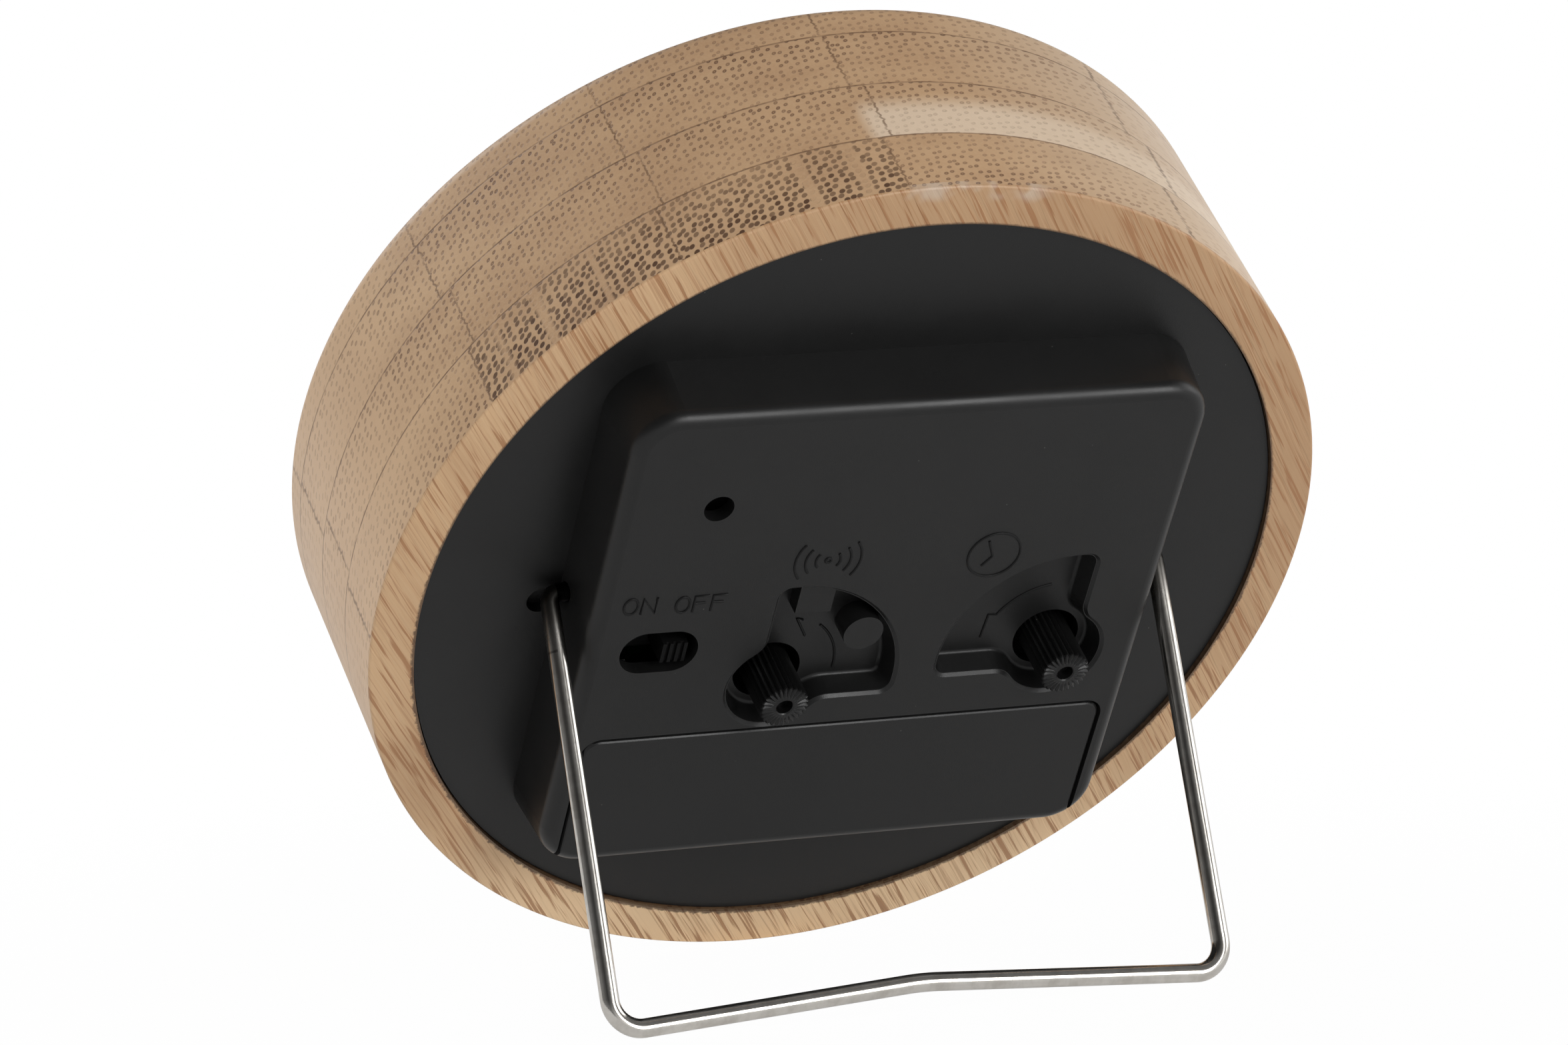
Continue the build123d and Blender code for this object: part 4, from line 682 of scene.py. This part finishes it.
def tube(bm, path, radius, sides, closed=False, uv=None):
    """Adds a round tube along a path of points, with a UV map round and along it where one is named."""
    path = [Vector(p) for p in path]
    count = len(path)
    tangents = []
    for i in range(count):
        ahead = path[(i + 1) % count] if closed or i + 1 < count else path[i]
        behind = path[i - 1] if closed or i > 0 else path[i]
        tangents.append((ahead - behind).normalized())
    normal = tangents[0].orthogonal().normalized()
    rings, runs, run = [], [], 0.0
    for i, (point, tangent) in enumerate(zip(path, tangents)):
        normal = (normal - normal.dot(tangent) * tangent).normalized()
        side = tangent.cross(normal)
        ring = []
        for k in range(sides):
            angle = 2 * math.pi * k / sides
            spoke = math.cos(angle) * normal + math.sin(angle) * side
            ring.append(bm.verts.new(point + radius * spoke))
        rings.append(ring)
        run += (point - path[i - 1]).length if i else 0.0
        runs.append(run)
    layer = bm.loops.layers.uv.new(uv) if uv else None
    for i in range(count if closed else count - 1):
        near, far = rings[i], rings[(i + 1) % count]
        for k in range(sides):
            m = (k + 1) % sides
            face = bm.faces.new((near[k], near[m], far[m], far[k]))
            if layer:
                corners = ((k, i), (k + 1, i), (k + 1, i + 1), (k, i + 1))
                for loop, (u, v) in zip(face.loops, corners):
                    loop[layer].uv = (u / sides, runs[v])
    if not closed:
        bm.faces.new(rings[0])
        bm.faces.new(rings[-1])


def bent(corners, radii, steps):
    """Path through corners, each rounded by its own radius."""
    corners = [Vector(c) for c in corners]
    path = [corners[0]]
    for i, radius in enumerate(radii, start=1):
        back = (corners[i - 1] - corners[i]).normalized()
        ahead = (corners[i + 1] - corners[i]).normalized()
        half = back.angle(ahead) / 2
        middle = corners[i] + (back + ahead).normalized() * radius / math.sin(half)
        first = (corners[i] + back * radius / math.tan(half) - middle).normalized()
        last = (corners[i] + ahead * radius / math.tan(half) - middle).normalized()
        for step in range(steps + 1):
            path.append(middle + first.slerp(last, step / steps) * radius)
    path.append(corners[-1])
    return path


# Case

CASE_SEGMENTS = 288


def case_profile():
    """Outline of the turned case, from its rear inner edge round the outside to the lip."""
    front = -CASE_DEPTH
    lip_rear = front + LIP_THICKNESS
    outline = [(REBATE_RADIUS, 0.0)]
    outline += arc(CASE_RADIUS - REAR_ROUND, -REAR_ROUND, REAR_ROUND, 90, 0, steps=5)
    outline += arc(CASE_RADIUS - FRONT_ROUND, front + FRONT_ROUND, FRONT_ROUND, 0, -90, steps=12)
    outline += arc(LIP_RADIUS + LIP_ROUND, front + LIP_ROUND, LIP_ROUND, 270, 180, steps=6)
    outline += [(LIP_RADIUS, lip_rear), (BORE_RADIUS, lip_rear), (BORE_RADIUS, -REBATE_DEPTH)]
    outline += [(REBATE_RADIUS, -REBATE_DEPTH)]
    return outline


bamboo_ring = turned("bamboo_ring", case_profile(), CASE_SEGMENTS)
piece("bamboo_ring", bamboo_ring, FINISHES["bamboo"], "clock", "bamboo_case")


# Wire stand

WIRE_BEND_STEPS = 14
WIRE_SIDES = 32


def on_leg(x, reach):
    """A point at a distance from the stand's hinge line, in the plane of the open stand."""
    y = WIRE_AXIS_Y - reach * math.cos(WIRE_ANGLE)
    z = WIRE_AXIS_Z + reach * math.sin(WIRE_ANGLE)
    return (x, y, z)


def wire_bail():
    """The stand's bent wire."""
    corners = [
        on_leg(-WIRE_PIN_X, 0),
        on_leg(-WIRE_HALF_WIDTH, 0),
        on_leg(-WIRE_HALF_WIDTH, WIRE_LEG),
        on_leg(0, WIRE_LEG - WIRE_ARCH),
        on_leg(WIRE_HALF_WIDTH, WIRE_LEG),
        on_leg(WIRE_HALF_WIDTH, 0),
        on_leg(WIRE_PIN_X, 0),
    ]
    bm = bmesh.new()
    tube(bm, bent(corners, WIRE_BENDS, WIRE_BEND_STEPS), WIRE_RADIUS, WIRE_SIDES, uv="wire")
    return to_mesh("wire_bail", bm, smooth=40)


piece("wire_bail", wire_bail(), FINISHES["steel_wire"], "stand", "wire_stand")


# Knobs

KNOB_STEPS = 6 * KNOB_TEETH
KNOB_FLAT_SHARE = 0.52
KNOB_DISH = 0.03
KNOB_HOLE_BEVEL = 0.12
KNOBS = {"alarm_knob": (ALARM_AXIS, "alarm_setter"), "time_knob": (TIME_AXIS, "time_setter")}

# Rings of the rounded edge of a knob's tip: how far in, how far down, and how much deeper in a groove
KNOB_EDGE = ((0.0, 0.35, 0.0), (0.06, 0.12, 0.20), (0.22, 0.0, 0.30))


def knob_rings():
    """Rings of (radius, rise) points, from a knob's bore round the teeth to the hole in its tip."""
    turns = [2 * math.pi * k * KNOB_TEETH / KNOB_STEPS for k in range(KNOB_STEPS)]
    crests = [0.5 + 0.5 * math.cos(turn) for turn in turns]
    side = [KNOB_RADIUS - KNOB_GROOVE * (1 - crest) for crest in crests]
    rings = [
        [(ARBOR_RADIUS, ARBOR_TIP_Z)] * KNOB_STEPS,
        [(ARBOR_RADIUS, KNOB_BASE_Z)] * KNOB_STEPS,
        [(radius, KNOB_BASE_Z) for radius in side],
    ]
    for inset, drop, groove in KNOB_EDGE:
        rises = [KNOB_TIP_Z - drop - groove * (1 - crest) for crest in crests]
        rings.append([(radius - inset, rise) for radius, rise in zip(side, rises)])
    rings += [
        [(KNOB_FLAT_SHARE * KNOB_RADIUS, KNOB_TIP_Z - KNOB_DISH)] * KNOB_STEPS,
        [(KNOB_HOLE_RADIUS + KNOB_HOLE_BEVEL, KNOB_TIP_Z)] * KNOB_STEPS,
        [(KNOB_HOLE_RADIUS, KNOB_TIP_Z - KNOB_HOLE_BEVEL)] * KNOB_STEPS,
        [(KNOB_HOLE_RADIUS, KNOB_TIP_Z - KNOB_HOLE_DEPTH)] * KNOB_STEPS,
    ]
    return rings


def knob_mesh(name, axis):
    """Knob with toothed sides, grooves that run on over its tip, and a hole in the tip."""
    bm = bmesh.new()
    rings = []
    for ring in knob_rings():
        made = []
        for k, (radius, rise) in enumerate(ring):
            angle = 2 * math.pi * k / KNOB_STEPS
            x = axis[0] + radius * math.cos(angle)
            y = axis[1] + radius * math.sin(angle)
            made.append(bm.verts.new((x, y, rise)))
        rings.append(made)
    for near, far in zip(rings, rings[1:]):
        for k in range(KNOB_STEPS):
            m = (k + 1) % KNOB_STEPS
            bm.faces.new((near[k], near[m], far[m], far[k]))
    bm.faces.new(rings[0])
    bm.faces.new(rings[-1])
    return to_mesh(name, bm, smooth=28)


for knob, (axis, body) in KNOBS.items():
    label = knob + "_turned"
    piece(label, knob_mesh(label, axis), FINISHES["knob_plastic"], body, knob)


# Raised marks on the back

MARK_RADIUS = 0.14
MARK_SIDES = 8
LETTER_HEIGHT = 2.0
LETTER_WIDTH_SHARE = 0.72
LETTER_PITCH_SHARE = 0.95
LETTER_BAR_SHARES = (0.8, 0.55)
ON_PLACE = (-25.9, 5.4)
OFF_PLACE = (-19.5, 5.2)
ALARM_SIGN = (-7.0, 9.7)
ALARM_SIGN_DOT = 0.3
ALARM_SIGN_WAVES = (1.3, 2.4, 3.5)
ALARM_SIGN_SPREAD = 38
CLOCK_SIGN = (10.98, 8.89)
CLOCK_SIGN_RADIUS = 2.8
CLOCK_SIGN_HANDS = [(10.04, 10.74), (10.85, 8.71), (9.89, 7.52)]
ALARM_ARROW_RADIUS = 7.2
ALARM_ARROW_ANGLES = (-3, 50)
ALARM_ARROW_HEAD = [(-6.6, -0.35), (-7.31, -0.09), (-5.94, -2.5)]
TIME_ARROW_RADIUS = 7.15
TIME_ARROW_ANGLES = (98, 151)
TIME_ARROW_HEAD = [(13.85, -1.54), (13.64, -4.54)]
ARROW_STEPS = 14


def letter_strokes(letter, x, y):
    """Strokes of a plain capital O, N or F with its lower left corner at x, y."""
    height = LETTER_HEIGHT
    width = LETTER_WIDTH_SHARE * height
    if letter == "O":
        round_points = circle(1, 1, 1, points=24)
        return [([(x + width / 2 * u, y + height / 2 * v) for u, v in round_points], True)]
    if letter == "N":
        return [([(x, y), (x, y + height), (x + width, y), (x + width, y + height)], False)]
    bar_length, bar_rise = LETTER_BAR_SHARES[0] * width, LETTER_BAR_SHARES[1] * height
    return [
        ([(x, y), (x, y + height), (x + width, y + height)], False),
        ([(x, y + bar_rise), (x + bar_length, y + bar_rise)], False),
    ]


def word_strokes(word, place):
    """Strokes of a word that is centred on its place."""
    pitch = LETTER_PITCH_SHARE * LETTER_HEIGHT
    length = pitch * (len(word) - 1) + LETTER_WIDTH_SHARE * LETTER_HEIGHT
    strokes = []
    for i, letter in enumerate(word):
        corner_x = place[0] - length / 2 + i * pitch
        strokes += letter_strokes(letter, corner_x, place[1] - LETTER_HEIGHT / 2)
    return strokes


def alarm_sign():
    """A dot with sound waves on both sides."""
    strokes = [(circle(*ALARM_SIGN, ALARM_SIGN_DOT, points=12), True)]
    for radius in ALARM_SIGN_WAVES:
        for side in (0, 180):
            ends = (side - ALARM_SIGN_SPREAD, side + ALARM_SIGN_SPREAD)
            strokes.append((arc(*ALARM_SIGN, radius, *ends, steps=8), False))
    return strokes


def clock_sign():
    """A round face with two hands."""
    return [(circle(*CLOCK_SIGN, CLOCK_SIGN_RADIUS, points=45), True), (CLOCK_SIGN_HANDS, False)]


def setting_arrows():
    """Arrows round the two knobs, in their recesses."""
    time_arc = arc(*TIME_AXIS, TIME_ARROW_RADIUS, *TIME_ARROW_ANGLES, ARROW_STEPS)
    return [
        (arc(*ALARM_AXIS, ALARM_ARROW_RADIUS, *ALARM_ARROW_ANGLES, ARROW_STEPS), False),
        (ALARM_ARROW_HEAD, False),
        (time_arc + TIME_ARROW_HEAD, False),
    ]


def marks_mesh(name, strokes, z):
    """Round-backed strokes on a face at a height."""
    bm = bmesh.new()
    for points, closed in strokes:
        tube(bm, [(x, y, z) for x, y in points], MARK_RADIUS, MARK_SIDES, closed)
    return to_mesh(name, bm, smooth=50)


words = word_strokes("ON", ON_PLACE) + word_strokes("OFF", OFF_PLACE)
face_marks = marks_mesh("face_marks", words + alarm_sign() + clock_sign(), BACK_Z)
fan_marks = marks_mesh("fan_marks", setting_arrows(), FAN_FLOOR_Z)
# The strokes take the darker finish, painted shade that shows them as moulded marks
piece("face_marks", face_marks, SHADED_MARK_FINISH, "clock")
piece("fan_marks", fan_marks, SHADED_MARK_FINISH, "clock")


# Dial print

FACING = Matrix(((-1, 0, 0, 0), (0, 1, 0, 0), (0, 0, -1, 0), (0, 0, 0, 1)))
NUMERAL_SIZE = 8.2
NUMERAL_RADIUS = 31.5
NUMERAL_THICKNESS = 0.02
MINUTE_MARK_RADIUS = 38.8
MINUTE_MARK_SIZE = (0.35, 1.8, 0.06)
HOUR_MARK_RADIUS = 38.5
HOUR_MARK_SIZE = (1.1, 2.4, 0.08)


def numeral_mesh(text, x, y):
    """Upright number on the dial, seen from the front."""
    curve = bpy.data.curves.new("numeral", "FONT")
    curve.body = text
    curve.size = NUMERAL_SIZE
    curve.align_x = "CENTER"
    curve.align_y = "CENTER"
    curve.extrude = NUMERAL_THICKNESS
    mesh = shown_mesh(bpy.data.objects.new("numeral", curve))
    bpy.data.curves.remove(curve)
    mesh.transform(Matrix.Translation((x, y, DIAL_Z - NUMERAL_THICKNESS)) @ FACING)
    return mesh


def dial_numbers():
    """The twelve hours."""
    bm = bmesh.new()
    for hour in range(1, 13):
        angle = math.radians(30 * hour)
        x, y = -NUMERAL_RADIUS * math.sin(angle), NUMERAL_RADIUS * math.cos(angle)
        numeral = numeral_mesh(str(hour), x, y)
        bm.from_mesh(numeral)
        bpy.data.meshes.remove(numeral)
    mesh = bpy.data.meshes.new("dial_numbers")
    bm.to_mesh(mesh)
    bm.free()
    return mesh


def bar_ring_tree():
    """Geometry nodes that set flat bars round the dial axis."""
    tree = bpy.data.node_groups.new("bar_ring", "GeometryNodeTree")
    for label, kind in (("Count", "Int"), ("Radius", "Float"), ("Size", "Vector")):
        tree.interface.new_socket(label, in_out="INPUT", socket_type="NodeSocket" + kind)
    tree.interface.new_socket("Geometry", in_out="OUTPUT", socket_type="NodeSocketGeometry")
    nodes, links = tree.nodes, tree.links
    given = nodes.new("NodeGroupInput")
    result = nodes.new("NodeGroupOutput")
    round_dial = nodes.new("GeometryNodeMeshCircle")
    bar = nodes.new("GeometryNodeMeshCube")
    place = nodes.new("GeometryNodeInstanceOnPoints")
    position = nodes.new("GeometryNodeInputPosition")
    align = nodes.new("FunctionNodeAlignRotationToVector")
    realise = nodes.new("GeometryNodeRealizeInstances")
    paint = nodes.new("GeometryNodeSetMaterial")
    align.axis = "Y"
    align.pivot_axis = "Z"
    paint.inputs["Material"].default_value = INK
    links.new(given.outputs["Count"], round_dial.inputs["Vertices"])
    links.new(given.outputs["Radius"], round_dial.inputs["Radius"])
    links.new(given.outputs["Size"], bar.inputs["Size"])
    links.new(position.outputs["Position"], align.inputs["Vector"])
    links.new(round_dial.outputs["Mesh"], place.inputs["Points"])
    links.new(bar.outputs["Mesh"], place.inputs["Instance"])
    links.new(align.outputs["Rotation"], place.inputs["Rotation"])
    links.new(place.outputs["Instances"], realise.inputs["Geometry"])
    links.new(realise.outputs["Geometry"], paint.inputs["Geometry"])
    links.new(paint.outputs["Geometry"], result.inputs["Geometry"])
    return tree


BAR_RING = bar_ring_tree()


def dial_marks(name, count, radius, size):
    """Bars round the edge of the dial, as a plain mesh."""
    holder = bpy.data.objects.new(name, bpy.data.meshes.new(name))
    modifier = holder.modifiers.new(name, "NODES")
    modifier.node_group = BAR_RING
    given = {"Count": count, "Radius": radius, "Size": size}
    for socket in BAR_RING.interface.items_tree:
        if socket.in_out == "INPUT":
            modifier[socket.identifier] = given[socket.name]
    mesh = shown_mesh(holder)
    mesh.transform(Matrix.Translation((0, 0, DIAL_Z)))
    return mesh


minute_marks = dial_marks("minute_marks", 60, MINUTE_MARK_RADIUS, MINUTE_MARK_SIZE)
hour_marks = dial_marks("hour_marks", 12, HOUR_MARK_RADIUS, HOUR_MARK_SIZE)
piece("dial_numbers", dial_numbers(), INK, "clock")
piece("minute_marks", minute_marks, INK, "clock")
piece("hour_marks", hour_marks, INK, "clock")


# The remaining CAD nodes keep their shapes and take the finishes

slot_of = {part["node"]: part["material_slot"] for part in frame["record"]["subparts"]}
for node, made in frame["nodes"].items():
    made.data.materials.clear()
    made.data.materials.append(NODE_FINISHES.get(node, FINISHES[slot_of[node]]))


# Floor and surroundings, in metres

FLOOR_REACH = 6.0
FLOOR_GREYS = (grey(0.90), grey(0.94))
WHITE = (1.0, 1.0, 1.0, 1.0)
NEAR_FLOOR = (0.06, 0.16)
NEAR_WHITE_SHARE = 0.98
MIRRORED_WHITE_SHARE = 0.4
SKY_FILL = 0.26
OVERHEAD = (0.10, 0.45)
OVERHEAD_SHARE = 0.18
ASIDE = (-0.1, 0.6)
ASIDE_SHARE = 0.22


def floor_finish():
    """Pale floor that keeps a soft shadow by the clock and looks white where it is seen."""
    f = Finish("pale_floor")
    point = f.node("ShaderNodeTexCoord", output="Object")
    x, y, _ = f.split(point)
    f.set(Base_Color=f.blend(f.noise(point, 4.0, 2.0), *FLOOR_GREYS), Roughness=0.7)
    white = f.node("ShaderNodeEmission", sockets={"Color": WHITE, "Strength": 1.0})
    lit = Signal(f, f.shader.outputs[0])
    seen, mirrored = f.rays()
    far_white = (x * x + y * y).root().ease(*NEAR_FLOOR, NEAR_WHITE_SHARE, 1.0)
    share = (seen * far_white).most(mirrored * MIRRORED_WHITE_SHARE)
    mixed = f.node("ShaderNodeMixShader", sockets={0: share, 1: lit, 2: white})
    f.feed(f.tree.nodes["Material Output"].inputs["Surface"], mixed)
    return f.material


def make_floor():
    """Wide flat floor under the clock."""
    sides = ((-1, -1), (1, -1), (1, 1), (-1, 1))
    mesh = bpy.data.meshes.new("floor")
    mesh.from_pydata([(FLOOR_REACH * i, FLOOR_REACH * j, 0) for i, j in sides], [], [(0, 1, 2, 3)])
    mesh.materials.append(floor_finish())
    floor = bpy.data.objects.new("floor", mesh)
    scene.collection.objects.link(floor)


def studio_sky():
    """Even white surroundings, dim overhead and to one side where they are mirrored."""
    world = bpy.data.worlds.new("studio")
    scene.world = world
    world.use_nodes = True
    sky = Nodes(world.node_tree)
    aside, _, height = sky.split(sky.node("ShaderNodeTexCoord", output="Generated"))
    seen, mirrored = sky.rays()
    glow = height.ease(*OVERHEAD, 1.0, OVERHEAD_SHARE) * aside.ease(*ASIDE, 1.0, ASIDE_SHARE)
    level = seen.most(mirrored * glow).most((1 - mirrored) * SKY_FILL)
    background = world.node_tree.nodes["Background"]
    sky.feed(background.inputs["Color"], WHITE)
    sky.feed(background.inputs["Strength"], level)


make_floor()
studio_sky()


# Lamps, in metres and watts


def softbox(name, place, aim_height, size, power, mirrored=True):
    """Square lamp aimed at the clock at a height, which shiny pieces mirror or not."""
    lamp = bpy.data.lights.new(name, "AREA")
    lamp.size = size
    lamp.energy = power
    made = bpy.data.objects.new(name, lamp)
    made.location = place
    ahead = Vector((0, 0, aim_height)) - Vector(place)
    made.rotation_euler = ahead.to_track_quat("-Z", "Y").to_euler()
    made.visible_glossy = mirrored
    scene.collection.objects.link(made)


softbox("front_box", (0.45, -0.95, 0.75), aim_height=0.05, size=0.7, power=4.0)
softbox("left_box", (0.90, 0.30, 0.42), aim_height=0.05, size=1.3, power=5.0, mirrored=False)
softbox("right_box", (-0.80, 0.25, 0.36), aim_height=0.05, size=0.5, power=1.8)
softbox("rear_box", (-0.35, 0.88, 0.24), aim_height=0.03, size=0.4, power=4.4)


# Camera, placed in the clock's own frame

FOCAL_PIXELS = 9442.76
PHOTO_WIDTH = 2352
SENSOR_WIDTH = 36.0
CAMERA_SPOT = Vector((-241.65, 393.99, 428.45))
CAMERA_RIGHT = Vector((0.9251, 0.1990, 0.3235))
CAMERA_DOWN = Vector((-0.0634, -0.7589, 0.6482))
CAMERA_AHEAD = Vector((0.3744, -0.6201, -0.6894))
lens = bpy.data.cameras.new("camera")
lens.sensor_fit = "HORIZONTAL"
lens.sensor_width = SENSOR_WIDTH
lens.lens = FOCAL_PIXELS * SENSOR_WIDTH / PHOTO_WIDTH
lens.clip_start = 0.01
lens.clip_end = 50.0
camera = bpy.data.objects.new("camera", lens)
look = TURN @ Matrix((CAMERA_RIGHT, -CAMERA_DOWN, -CAMERA_AHEAD)).transposed()
camera.matrix_world = Matrix.Translation(CLOCK @ CAMERA_SPOT) @ look.to_4x4()
scene.collection.objects.link(camera)
scene.camera = camera
